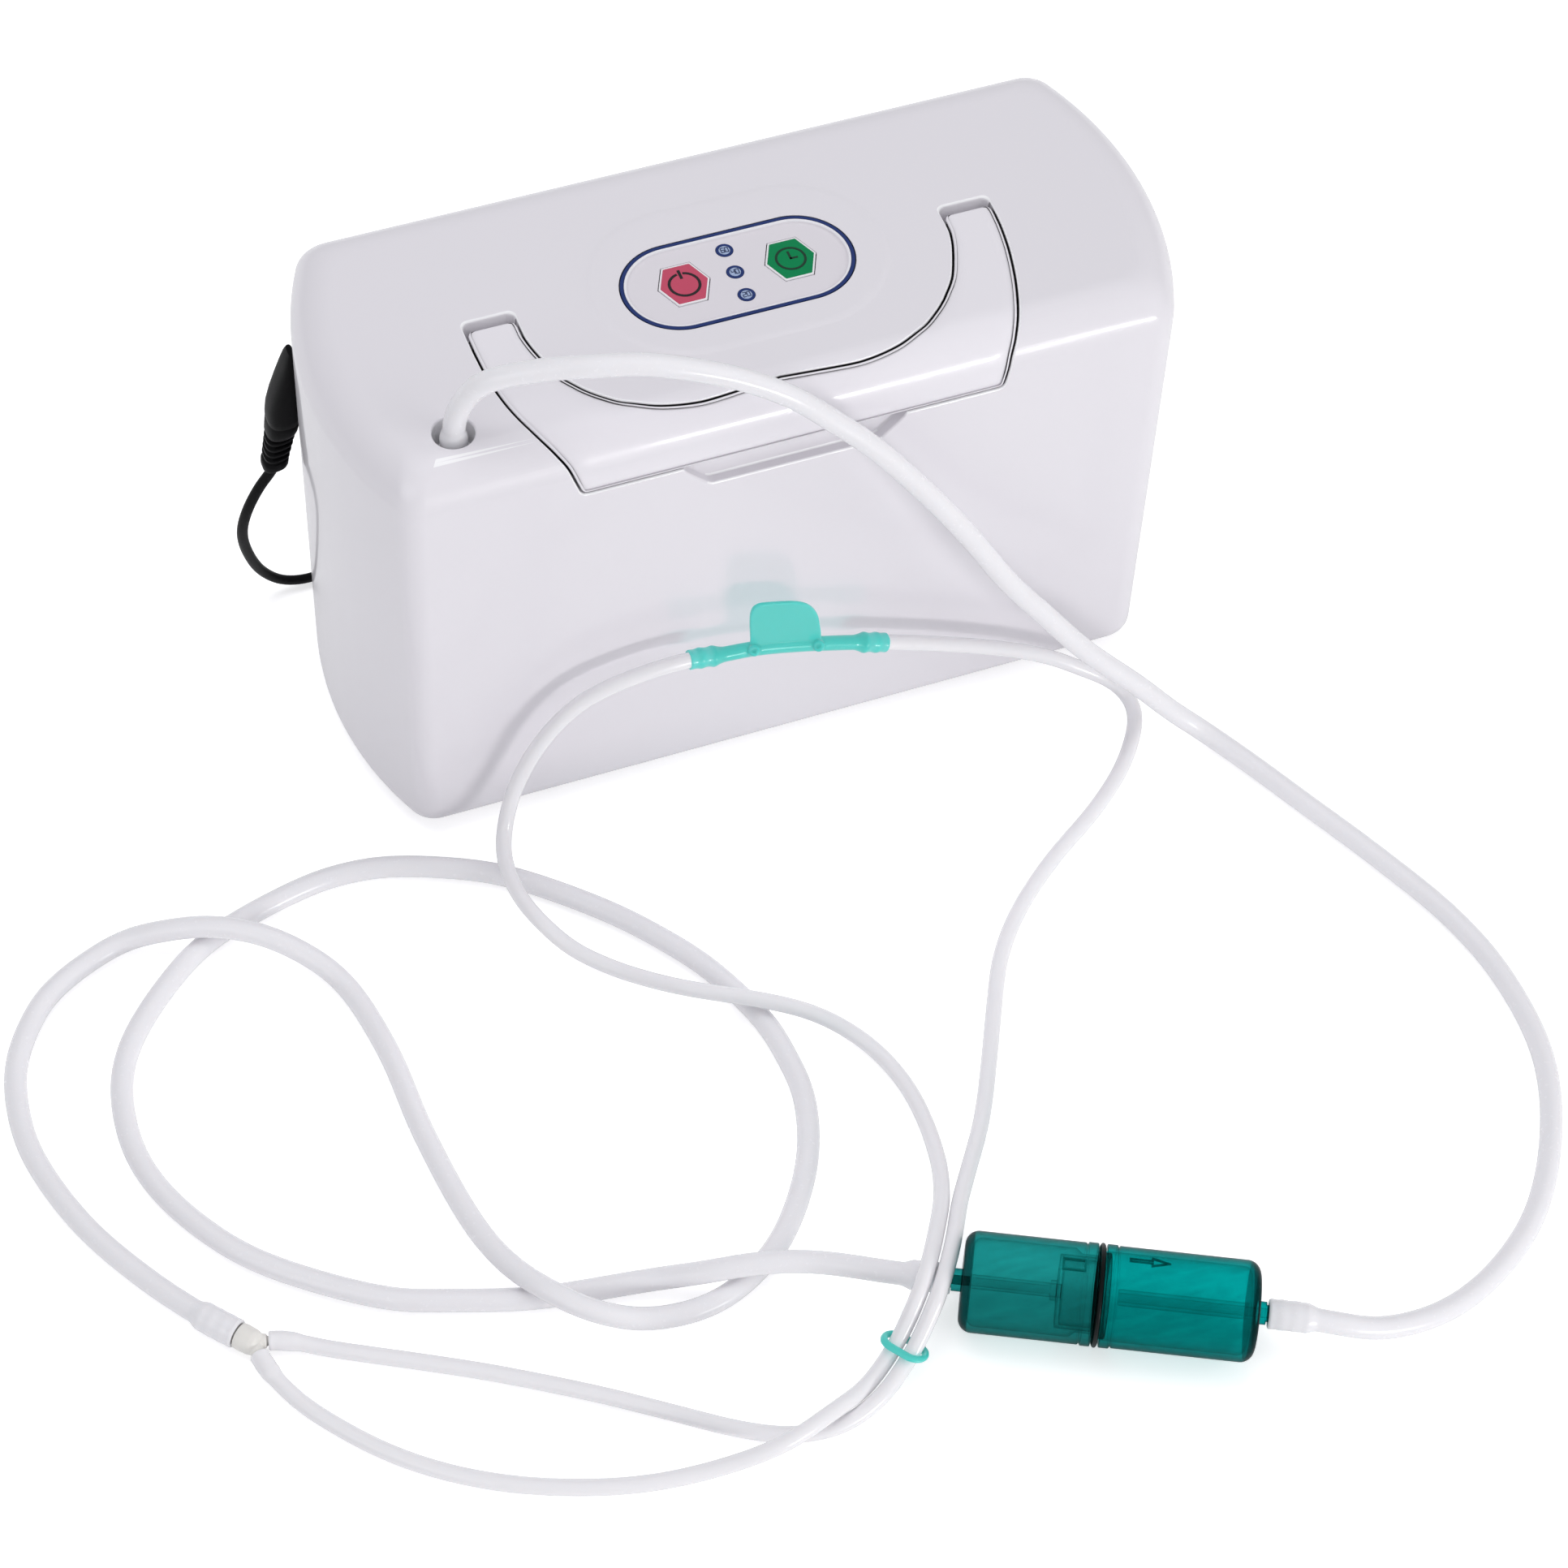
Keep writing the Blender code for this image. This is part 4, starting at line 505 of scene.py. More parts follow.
def join(name, obs):
    work = bmesh.new()
    for ob in obs:
        work.from_mesh(ob.data)
    mesh = bpy.data.meshes.new(name)
    work.to_mesh(mesh)
    work.free()
    for ob in obs:
        bpy.data.objects.remove(ob, do_unlink=True)
    return link_object(name, mesh)


def ring_faces(start, after, count):
    """Quads between two rings whose vertices begin at start and at after."""
    return [(start + i, start + (i + 1) % count, after + (i + 1) % count, after + i)
            for i in range(count)]


def loft(name, rings, mat=None, sharp=35.0, loop=False):
    """Skin over rings: capped at both ends, or closed into a loop."""
    count = len(rings[0])
    verts = [v for ring in rings for v in ring]
    faces = []
    for k in range(len(rings) if loop else len(rings) - 1):
        faces += ring_faces(k * count, (k + 1) % len(rings) * count, count)
    if not loop:
        faces.append(tuple(range(count)))
        faces.append(tuple(range((len(rings) - 1) * count, len(rings) * count)))
    return new_obj(name, verts, faces, mat, sharp)


def level(outline, z):
    return [(x, y, z) for x, y in outline]


def prism(name, outline, z0, z1):
    return loft(name, [level(outline, z0), level(outline, z1)])


def revolve(name, prof, origin, axis, sides, hollow=True, mat=None, sharp=35.0):
    """Turns a profile of (distance along the axis, radius); hollow closes the profile."""
    along = Vector(axis).normalized()
    helper = Vector((0, 0, 1)) if abs(along.z) < 0.9 else Vector((1, 0, 0))
    across = helper.cross(along).normalized()
    upward = along.cross(across)
    origin = Vector(origin)
    verts, rows = [], []
    for dist, radius in prof:
        if radius <= 1e-9:
            rows.append([len(verts)])
            verts.append(origin + along * dist)
            continue
        rows.append(list(range(len(verts), len(verts) + sides)))
        for i in range(sides):
            t = 2 * math.pi * i / sides
            verts.append(origin + along * dist
                         + (across * math.cos(t) + upward * math.sin(t)) * radius)
    faces = []
    for k in range(len(rows) if hollow else len(rows) - 1):
        here, there = rows[k], rows[(k + 1) % len(rows)]
        for i in range(sides):
            j = (i + 1) % sides
            if len(here) == 1:
                faces.append((here[0], there[j], there[i]))
            elif len(there) == 1:
                faces.append((here[i], here[j], there[0]))
            else:
                faces.append((here[i], here[j], there[j], there[i]))
    if not hollow:
        faces += [tuple(row) for row in (rows[0], rows[-1]) if len(row) > 1]
    return new_obj(name, verts, faces, mat, sharp)


def cyl(name, origin, axis, radius, start, end, sides=32):
    return revolve(name, [(start, radius), (end, radius)], origin, axis, sides, hollow=False)


def box(name, low, high):
    (x0, y0, z0), (x1, y1, z1) = low, high
    return prism(name, [(x0, y0), (x1, y0), (x1, y1), (x0, y1)], z0, z1)


def bend(first, corner, last, steps):
    return [tuple((1 - t) ** 2 * first + 2 * t * (1 - t) * corner + t * t * last)
            for t in (q / steps for q in range(steps + 1))]


def round_prof(prof, radius, steps=3, closed=True):
    """Rounds the corners of a profile, less where its sides are short."""
    points = [np.array(p, float) for p in prof]
    count = len(points)
    out = []
    for i, corner in enumerate(points):
        before, after = points[i - 1] - corner, points[(i + 1) % count] - corner
        len0, len1 = np.linalg.norm(before), np.linalg.norm(after)
        on_end = not closed and i in (0, count - 1)
        if on_end or len0 < 1e-6 or len1 < 1e-6 or corner[1] < 1e-6:
            out.append(tuple(corner))
            continue
        cut = min(radius, 0.45 * len0, 0.45 * len1)
        out += bend(corner + before / len0 * cut, corner, corner + after / len1 * cut, steps)
    return out


def round_poly(outline, radius, steps):
    points = [np.array(p, float) for p in outline]
    out = []
    for i, corner in enumerate(points):
        before, after = points[i - 1] - corner, points[(i + 1) % len(points)] - corner
        before /= np.linalg.norm(before)
        after /= np.linalg.norm(after)
        half = math.acos(max(-1, min(1, float(before @ after)))) / 2
        cut = radius / math.tan(half)
        out += bend(corner + before * cut, corner, corner + after * cut, steps)
    return out


def rrect(cx, cy, width, height, radius, steps=8):
    out = []
    for sx, sy, start in ((1, -1, -90), (1, 1, 0), (-1, 1, 90), (-1, -1, 180)):
        for i in range(steps + 1):
            t = math.radians(start + 90.0 * i / steps)
            out.append((cx + sx * (width / 2 - radius) + radius * math.cos(t),
                        cy + sy * (height / 2 - radius) + radius * math.sin(t)))
    return out


def stadium(cx, cy, length, width, steps):
    return rrect(cx, cy, length, width, width / 2 - 1e-4, steps)


def rbox_y(name, cx, cz, width, height, radius, depths, steps=8):
    """Rounded plate facing +y; depths are (inset, y)."""
    return loft(name, [[(x, y, z) for x, z in rrect(cx, cz, width - 2 * e, height - 2 * e,
                                                    max(radius - e, 0.2), steps)]
                       for e, y in depths])


def run(points, power=1.0):
    """Running sum of the segment lengths, each raised to a power."""
    lengths = np.linalg.norm(np.diff(points, axis=0), axis=1) ** power
    return np.concatenate([[0], np.cumsum(lengths)])


def resample(stations, along, points):
    return np.stack([np.interp(stations, along, points[:, k]) for k in range(3)], 1)


def spline(points, step):
    """Smooth curve through the points: even samples and their distances along it."""
    knots = np.array(points, float)
    times = run(knots, 0.5)
    gaps = np.diff(times)
    chords = np.diff(knots, axis=0) / gaps[:, None]
    share = (gaps[1:] / (times[2:] - times[:-2]))[:, None]
    slopes = np.concatenate([chords[:1], chords[:-1] * share + chords[1:] * (1 - share),
                             chords[-1:]])
    fine = []
    for i, gap in enumerate(gaps):
        for k in range(24):
            t = k / 24.0
            fine.append((2*t**3 - 3*t**2 + 1) * knots[i] + (t**3 - 2*t**2 + t) * gap * slopes[i]
                        + (-2*t**3 + 3*t**2) * knots[i + 1] + (t**3 - t**2) * gap * slopes[i + 1])
    fine = np.array(fine + [knots[-1]])
    lengths = run(fine)
    count = max(2, int(round(lengths[-1] / step)))
    stations = np.linspace(0, lengths[-1], count + 1)
    return resample(stations, lengths, fine), stations


def relax(path, passes):
    """Takes the small kinks out of a path and keeps its ends."""
    path = path.copy()
    for _ in range(passes):
        path[2:-2] = 0.5 * path[2:-2] + 0.25 * (path[1:-3] + path[3:-1])
    return path


def sweep(name, path, radii, sides, inner=None, mat=None, sharp=40.0, shape=None):
    """Tube along a path; inner radii make it hollow, shape scales the radius round it."""
    tangents = np.gradient(path, axis=0)
    tangents /= np.linalg.norm(tangents, axis=1)[:, None]
    helper = np.array([0, 0, 1.0]) if abs(tangents[0][2]) < 0.9 else np.array([0, 1.0, 0])
    normals = [np.cross(tangents[0], helper)]
    normals[0] /= np.linalg.norm(normals[0])
    for tangent in tangents[1:]:
        turned = normals[-1] - tangent * np.dot(normals[-1], tangent)
        normals.append(turned / np.linalg.norm(turned))
    normals = np.array(normals)
    sideways = np.cross(tangents, normals)
    angle = 2 * np.pi * (np.arange(sides) + 0.5) / sides
    cos, sin = np.cos(angle), np.sin(angle)
    rows = len(path)

    def skin(radius, scale):
        return [path[i] + radius[i] * scale[j] * (cos[j] * normals[i] + sin[j] * sideways[i])
                for i in range(rows) for j in range(sides)]

    plain = np.ones(sides)
    verts = skin(radii, plain if shape is None else shape)
    faces = []
    for i in range(rows - 1):
        faces += ring_faces(i * sides, (i + 1) * sides, sides)
    last = (rows - 1) * sides
    if inner is None:
        faces.append(tuple(range(sides)))
        faces.append(tuple(range(last, last + sides)))
    else:
        base = rows * sides
        verts += skin(inner, plain)
        for i in range(rows - 1):
            start = base + i * sides
            faces += [f[::-1] for f in ring_faces(start, start + sides, sides)]
        faces += ring_faces(0, base, sides)
        faces += [f[::-1] for f in ring_faces(last, base + last, sides)]
    return new_obj(name, verts, faces, mat, sharp)


def hose(name, path, radius, bore, cuffs, ridges, mat, sides=28):
    """Soft hose; a cuff (length, outer, inner) at its start or end is where it is stretched
    over a barb, with the barb's rings showing faintly through."""
    line, along = spline(path, 1.6)
    line = relax(line, 6)
    total = along[-1]
    fine = np.arange(0.0, 14.0, 0.4)
    stations = np.unique(np.round(np.concatenate([along, fine, total - fine]), 4))
    keep = [stations[0]]
    for station in stations[1:]:
        if station - keep[-1] > 0.25:
            keep.append(station)
    keep[-1] = total
    stations = np.array(keep)
    outer, inner = np.full(len(stations), radius), np.full(len(stations), bore)
    for cuff, dist in zip(cuffs, (stations, total - stations)):
        if cuff:
            length, cuff_r, cuff_ir = cuff
            fade = np.clip((length + 3.0 - dist) / 3.0, 0, 1)
            fade = fade * fade * (3 - 2 * fade)
            wave = ridges * np.cos(dist * 2 * np.pi / 3.1) * (dist < length)
            outer = np.maximum(outer, radius + fade * (cuff_r - radius) + wave)
            inner = np.maximum(inner, bore + fade * (cuff_ir - bore))
        lip = np.clip(1 - dist / 0.45, 0, 1)
        outer = outer - 0.28 * (1 - np.sqrt(np.clip(1 - lip ** 2, 0, 1)))
    return sweep(name, resample(stations, along, line), outer, sides, inner, mat)


def place(ob, body, *nodes, slot=None):
    """Ties a finished piece to its moving body and to the CAD nodes it stands for."""
    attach(ob, body)
    if nodes:
        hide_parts(*nodes)


def angles(first, last, count):
    return [math.radians(a) for a in np.linspace(first, last, count)]


# ---------------------------------------------------------- casing shapes
ARC_R = (HD * HD + END_BULGE ** 2) / (2 * END_BULGE)    # bulged end faces
ARC_CX = BODY_W / 2 + END_BULGE - ARC_R
FLAT = HD - R_TOP                   # s where the front rounding starts
QUARTER = math.pi / 2 * R_TOP


def plan(inset, corner, end_steps, corner_steps):
    """Outline of the casing seen from above, moved in by inset."""
    radius = ARC_R - inset
    corner_y = -(HD - inset) + corner
    corner_x = ARC_CX + math.sqrt((radius - corner) ** 2 - corner_y ** 2)
    phi = math.atan2(corner_y, corner_x - ARC_CX)
    front = []
    for i in range(corner_steps + 1):
        t = -math.pi / 2 + (phi + math.pi / 2) * i / corner_steps
        front.append((corner_x + corner * math.cos(t), corner_y + corner * math.sin(t)))
    end = []
    for i in range(1, end_steps):
        t = phi - 2 * phi * i / end_steps
        end.append((ARC_CX + radius * math.cos(t), radius * math.sin(t)))
    right = front + end + [(x, -y) for x, y in reversed(front)]
    return right + [(-x, -y) for x, y in right]


def surf(x, s, out):
    """Point at x and s, lifted out of the casing surface."""
    if s <= FLAT:
        return (x, -s, TOP + out)
    if s <= FLAT + QUARTER:
        t = (s - FLAT) / R_TOP
        return (x, -FLAT - (R_TOP + out) * math.sin(t),
                TOP - R_TOP + (R_TOP + out) * math.cos(t))
    return (x, -HD - out, TOP - R_TOP - (s - FLAT - QUARTER))


def dense_line(outline, places):
    """Catmull-Rom curve through an outline, read at fractional point numbers."""
    points = np.array(outline, float)
    out = []
    for place_ in places:
        i = min(int(place_), len(points) - 2)
        t = place_ - i
        p1, p2 = points[i], points[i + 1]
        p0 = points[i - 1] if i > 0 else 2 * p1 - p2
        p3 = points[i + 2] if i + 2 < len(points) else 2 * p2 - p1
        out.append(0.5 * ((2 * p1) + (p2 - p0) * t + (2 * p0 - 5 * p1 + 4 * p2 - p3) * t * t
                          + (3 * p1 - p0 - 3 * p2 + p3) * t ** 3))
    return np.array(out)


# sampling places along the outlines, densest round the front corner
PLACES = np.unique(np.round(np.concatenate([np.linspace(0, 7, 43), np.linspace(7, 9.4, 61),
                                            np.linspace(9.4, 14, 29)]), 5))


def outer_line():
    """Outer handle outline: curve down the arm, straight front edge, eased corner."""
    front_s = HANDLE_OUT[-1][1]
    arm = dense_line(HANDLE_OUT[:9], np.clip(PLACES[PLACES <= 8], 0, 7.9999))
    front_x = np.interp(PLACES[PLACES > 8], range(8, 15), [x for x, s in HANDLE_OUT[8:]])
    line = np.concatenate([arm, np.stack([front_x, np.full(len(front_x), 55.0)], 1)])
    line[:, 1] = np.minimum(line[:, 1], front_s)
    along = run(line)
    spacing = np.gradient(along)
    eased = line.copy()
    for i in np.where((PLACES > 6.9) & (PLACES < 9.3))[0]:
        weight = np.exp(-0.5 * ((along - along[i]) / 0.75) ** 2) * spacing
        eased[i] = (weight[:, None] * line).sum(0) / weight.sum()
    return eased


OUTER_LINE = outer_line()
INNER_LINE = dense_line(HANDLE_IN, np.clip(PLACES, 0, 13.9999))


def offset_line(line, dist):
    tangent = np.gradient(line, axis=0)
    tangent[-1] = (-1.0, 0.0)
    tangent /= np.linalg.norm(tangent, axis=1)[:, None]
    return line + dist * np.stack([tangent[:, 1], -tangent[:, 0]], 1)


LEAN_S = np.arange(-8.0, 62.0, 0.5)
LEAN_X = np.interp(LEAN_S, [q[0] for q in HANDLE_LEAN], [q[1] for q in HANDLE_LEAN])
for _ in range(60):
    LEAN_X[1:-1] = 0.5 * LEAN_X[1:-1] + 0.25 * (LEAN_X[:-2] + LEAN_X[2:])


def lean(x, s):
    return (x - float(np.interp(s, LEAN_S, LEAN_X)), s)


def widen(x, s, seam, inner):
    """Moves an outline point by a share of the extra seam width, which is largest on the
    outer side of the right arm."""
    if inner:
        extra = 0.28 * math.exp(-((s - 16.0) / 9.0) ** 2)
        return (x - math.copysign(seam * extra, x), s)
    extra = (0.95 if x > 0 else 0.14) * math.exp(-((s - 34.0) / 14.0) ** 2)
    return (x + math.copysign(seam * extra, x), s)


def band_pair(off, seam=0.0):
    """Pairs (inner, outer) of points along the U, from its left to its right arm end."""
    outer, inner = offset_line(OUTER_LINE, off), offset_line(INNER_LINE, -off)
    outer[0][1] = HANDLE_OUT[0][1]
    inner[0][1] = HANDLE_IN[0][1]
    half = list(zip(inner, outer))
    full = [((-i[0], i[1]), (-o[0], o[1])) for i, o in half]
    full += [((i[0], i[1]), (o[0], o[1])) for i, o in reversed(half[:-1])]
    if seam:
        full = [(widen(*i, seam, True), widen(*o, seam, False)) for i, o in full]
    return [(lean(*i), lean(*o)) for i, o in full]


def band_cutter(name, levels, seam=0.0):
    """Solid that follows the U band; levels are (height, offset, rear s)."""
    cells = 6
    width = cells + 1
    grids = []
    for height, off, rear in levels:
        rows = [[(i[0] + (o[0] - i[0]) * j / cells, i[1] + (o[1] - i[1]) * j / cells)
                 for j in range(width)] for i, o in band_pair(off, seam)]
        rows = [[(x, rear) for x, s in rows[0]]] + rows + [[(x, rear) for x, s in rows[-1]]]
        grids.append([[surf(x, s, height) for x, s in row] for row in rows])
    count = len(grids[0])
    verts, faces = [], []
    for grid in (grids[0], grids[-1]):
        base = len(verts)
        verts += [p for row in grid for p in row]
        for i in range(count - 1):
            for j in range(cells):
                corner = base + i * width + j
                faces.append((corner, corner + width, corner + width + 1, corner + 1))
    loops = []
    for grid in grids:
        rim = grid[0] + [grid[i][cells] for i in range(1, count)]
        rim += grid[-1][-2::-1] + [grid[i][0] for i in range(count - 2, 0, -1)]
        loops.append(len(verts))
        verts += rim
    for start, after in zip(loops, loops[1:]):
        faces += ring_faces(start, after, len(rim))
    ob = new_obj(name, verts, faces)
    edit_mesh(ob.data,
              lambda work: bmesh.ops.remove_doubles(work, verts=work.verts, dist=1e-7),
              face_outward)
    return ob


def shell_rings(wall, corner, end_steps, corner_steps, bottom, top):
    """Rings of the casing, moved in by wall, at angles of its bottom and top rounding."""
    low, high = R_BOTTOM - wall, R_TOP - wall
    steps = (corner, end_steps, corner_steps)
    return ([level(plan(wall + low * (1 - math.sin(t)), *steps),
                   Z_BODY + R_BOTTOM - low * math.cos(t)) for t in bottom]
            + [level(plan(wall + high * (1 - math.cos(t)), *steps),
                     TOP - R_TOP + high * math.sin(t)) for t in top])


# ------------------------------------------------------------------ casing
casing = loft("casing_shell", shell_rings(0.0, R_CORNER, 28, 10, angles(0, 90, 9),
                                          angles(0, 90, 19)))
cavity = [level(plan(8.8, 5, 12, 4), Z_BODY - 1.0), level(plan(8.8, 5, 12, 4), Z_BODY + WALL),
          level(plan(R_BOTTOM, 4.5, 12, 4), Z_BODY + WALL + 0.01)]
cavity += shell_rings(WALL, 4.5, 12, 4, angles(45, 90, 2), angles(0, 90, 4))
casing = boolean(casing, [loft("cavity", cavity)])

# outward normal and foot of the scoop on the left end face
END_Y = 31.0
END_N = (-math.cos(math.asin(END_Y / ARC_R)), END_Y / ARC_R)
END_X = -ARC_CX + ARC_R * END_N[0]


def end_loft(name, outlines, depths):
    """Loft on the left end: outlines of (t, z) at depths along the inward normal."""
    return loft(name, [[(END_X - END_N[0] * d + END_N[1] * t, END_Y - END_N[1] * d - END_N[0] * t,
                         z) for t, z in outline] for outline, d in zip(outlines, depths)])


# material added inside: under the handle, behind the notch and scoop, and the raised oval
tub = band_cutter("tub", [(-1.4, 3.2, -6.5), (-9.2, 3.2, -6.5)])
backing = end_loft("backing", [[(-8.5, 4.5), (7.5, 4.5), (7.5, 66), (-8.5, 66)]] * 2, (1.2, 6.4))
notch_back = box("notch_back", (-34, -HD + 1.2, 100), (33, -HD + 8.2, 114))
OVAL = [(-0.3, -0.8), (-0.3, -0.01), (0.3, 0.05), (0.9, 0.14), (1.5, 0.2), (2.2, 0.22)]
oval = loft("oval", [level(stadium(0.0, -1.5, 74.0 - 2 * e, 48.0 - 2 * e, 24), TOP + dz)
                     for e, dz in OVAL])
casing = boolean(casing, [tub, notch_back, backing, oval], "UNION")

# rounded lip of the handle pocket as (height, widening)
LIP = [(1.0, 0.62), (0.06, 0.62), (-0.012, 0.42), (-0.07, 0.25), (-0.17, 0.13),
       (-0.32, 0.045), (-0.55, 0.0)]
cuts = [band_cutter("pocket", [(h, HANDLE_GAP + e, -0.15 + 0.5 * e) for h, e in LIP]
                    + [(-(HANDLE_T + 0.5), HANDLE_GAP, -0.15)], 0.5)]
# relief at each arm end as (height, rear y, half width)
RELIEF = [(1.2, 3.0, 7.0), (0.05, 3.0, 7.0), (-0.03, 2.75, 6.8), (-0.14, 2.5, 6.6),
          (-0.36, 2.25, 6.42), (-0.8, 2.0, 6.3), (-2.2, 1.55, 6.2), (-3.6, 1.15, 6.1),
          (-5.0, 0.95, 6.0), (-5.7, 0.6, 5.9), (-6.0, 0.2, 5.8)]
RELIEF_FRONT = -1.9
for side in (-1, 1):
    rings = []
    for dz, back, half in RELIEF:
        depth = back - RELIEF_FRONT
        outline = rrect(0, (back + RELIEF_FRONT) / 2, 2 * half, depth,
                        min(1.9, depth / 2 - 0.06), 8)
        rings.append([(side * 59.8 + ARM_SHIFT + x, y, TOP + dz) for x, y in outline])
    cuts.append(loft("relief", rings))


def notch_ring(depth, lift):
    """Outline of the finger notch at a depth behind the front face."""
    low, high = NOTCH_Z + lift, 115.0
    half_low, half_high = 21.0 - lift * 0.9, 30.8 - lift * 0.9
    outline = [(-half_low, low), (half_low, low), (half_high, high), (-half_high, high)]
    return [(x - 0.5, -HD + depth, z) for x, z in round_poly(outline, 2.6, 8)]


NOTCH_R = 0.55
rings = [notch_ring(-1.2, -NOTCH_R), notch_ring(-0.02, -NOTCH_R)]
rings += [notch_ring(NOTCH_R - NOTCH_R * math.cos(t), -NOTCH_R + NOTCH_R * math.sin(t))
          for t in np.linspace(0.25, math.pi / 2, 7)]
rings += [notch_ring(NOTCH_D - 0.6, 0.05)]
rings += [notch_ring(NOTCH_D - NOTCH_R + NOTCH_R * math.sin(t),
                     0.05 + NOTCH_R - NOTCH_R * math.cos(t)) for t in np.linspace(0.25, 1.35, 5)]
cuts.append(loft("notch", rings + [notch_ring(NOTCH_D, 1.0)]))


def panel_ring(inset, z):
    return level(stadium(*PANEL_C, PANEL_L - 2 * inset, PANEL_W - 2 * inset, 24), z)


def hexagon(cx, cy, size):
    half, edge = size / 2, 0.275 * size
    return [(cx + half, cy), (cx + edge, cy + half), (cx - edge, cy + half),
            (cx - half, cy), (cx - edge, cy - half), (cx + edge, cy - half)]


def control_cutters(key_gap, led_gap):
    """Cutters for both keys and the three lamps, larger than them by the gaps."""
    keys = [prism("key_cut", hexagon(*c, KEY_SIZE + key_gap), TOP - 4, TOP + 2)
            for c in (KEY_POWER, KEY_SET)]
    return keys + [cyl("led_cut", (*c, 0), (0, 0, 1), LED_R + led_gap, TOP - 4, TOP + 2)
                   for c in LEDS]


PANEL_LIP = 0.18
panel_steps = [(PANEL_LIP + 0.02, 1.0), (PANEL_LIP + 0.02, 0.02)]
panel_steps += [(PANEL_LIP * e, -PANEL_LIP * d) for e, d in
                ((0.6, 0.05), (0.28, 0.28), (0.06, 0.6), (0, 1))]
cuts.append(loft("panel_cut", [panel_ring(-0.25 - e, PANEL_TOP + dz) for e, dz in panel_steps]
                 + [panel_ring(-0.25, TOP - 1.1)]))
cuts += control_cutters(0.8, 0.3)
# outlet hole as (height above the top, widening)
OUTLET_LIP = [(-14, 0), (-0.6, 0), (-0.35, 0.05), (-0.16, 0.16), (-0.04, 0.32), (0.02, 0.55),
              (2, 0.55)]
cuts.append(revolve("out_cut", [(TOP - 14, 0)] + [(TOP + dz, OUTLET_R + e) for dz, e in OUTLET_LIP]
                    + [(TOP + 2, 0)], (*OUTLET, 0), (0, 0, 1), 72, hollow=False))
# scoop as (depth, widening)
SCOOP = [(-3.0, 0.5), (-0.05, 0.5), (0.05, 0.2), (0.3, 0.05), (0.7, 0.0), (3.4, -0.05)]
cuts.append(end_loft("scoop", [rrect(0, 34.5, 11 + 2 * e, 55 + 2 * e, 5.49 + e, 10)
                               for d, e in SCOOP], [d for d, e in SCOOP]))
cuts.append(cyl("jack_cut", (-110, *JACK), (1, 0, 0), 3.6, 0, 17))
cuts.append(rbox_y("rear_cut", 0, 64, 150.6, 88.6, 8, [
    (0, 36), (0, HD - 0.45), (-0.1, HD - 0.22), (-0.28, HD - 0.06), (-0.5, HD + 0.02),
    (-0.5, 50)]))
casing = boolean(casing, cuts)
set_mat(tidy(casing, 42), MAT["casing"])


def casing_slot(face):
    """1 for the lips, the notch fillet and the outlet hole, with a painted highlight; 2 for a
    pocket wall of the right arm, with painted shade.
    """
    x, y, z = face.center / MM
    normal = face.normal
    # painted light: the inside of the outlet hole gets the lighter edge white
    if math.hypot(x - OUTLET[0], y - OUTLET[1]) < 8.0 and 112.0 < z < TOP - 0.3:
        return 1
    if abs(x) > 71.0 or y > 3.2:
        return 0
    if y > -FLAT:
        deep = TOP - z
    elif z > TOP - R_TOP:
        deep = R_TOP - math.hypot(y + FLAT, z - TOP + R_TOP)
    else:
        deep = y + HD
    # painted shade: the deep pocket wall of the right arm
    if deep > 0.45 and z > 113.0 and 50.0 < x < 68.0 and -42.5 < y < 0.5 and normal.x < -0.75:
        return 2
    # painted highlight on the lips and the notch fillet
    lip = 0.05 < deep < 0.5 and z > 112.0 and face.area < 4e-6
    in_panel = abs(x - PANEL_C[0]) < 38 and abs(y - PANEL_C[1]) < 24 and z > TOP - 0.9
    fillet = (abs(x) < 32 and NOTCH_Z - 0.9 < z < NOTCH_Z + 1.1
              and y < -HD + NOTCH_D + 0.2 and normal.z > 0.3 and normal.y < -0.3)
    return 1 if (lip and not in_panel) or fillet else 0


paint(casing, ("edge", "pocket_shade"), casing_slot)
place(weighted(casing), "casing", "main_casing", slot="casing_white")

# ----------------------------------------------------------------- handle
EDGE_R = 0.65
TIP_S, TIP_CORNER_R, TIP_EDGE_R = 0.8, 1.8, 0.6
TIP_ROWS = (0.0, 0.06, 0.16, 0.3, 0.5, 0.75, 1.05, 1.4, 1.8, 2.2)   # distances from the rear tip
# rounded edge as (inset, height)
EDGE_ARC = [(EDGE_R * (1 - math.sin(t)), -EDGE_R * (1 - math.cos(t)))
            for t in np.linspace(math.pi / 2, 0, 6)]
inset_cache = {}


def inset_pairs(inset):
    key = round(inset, 4)
    if key not in inset_cache:
        inset_cache[key] = band_pair(-inset, -0.5)
    return inset_cache[key]


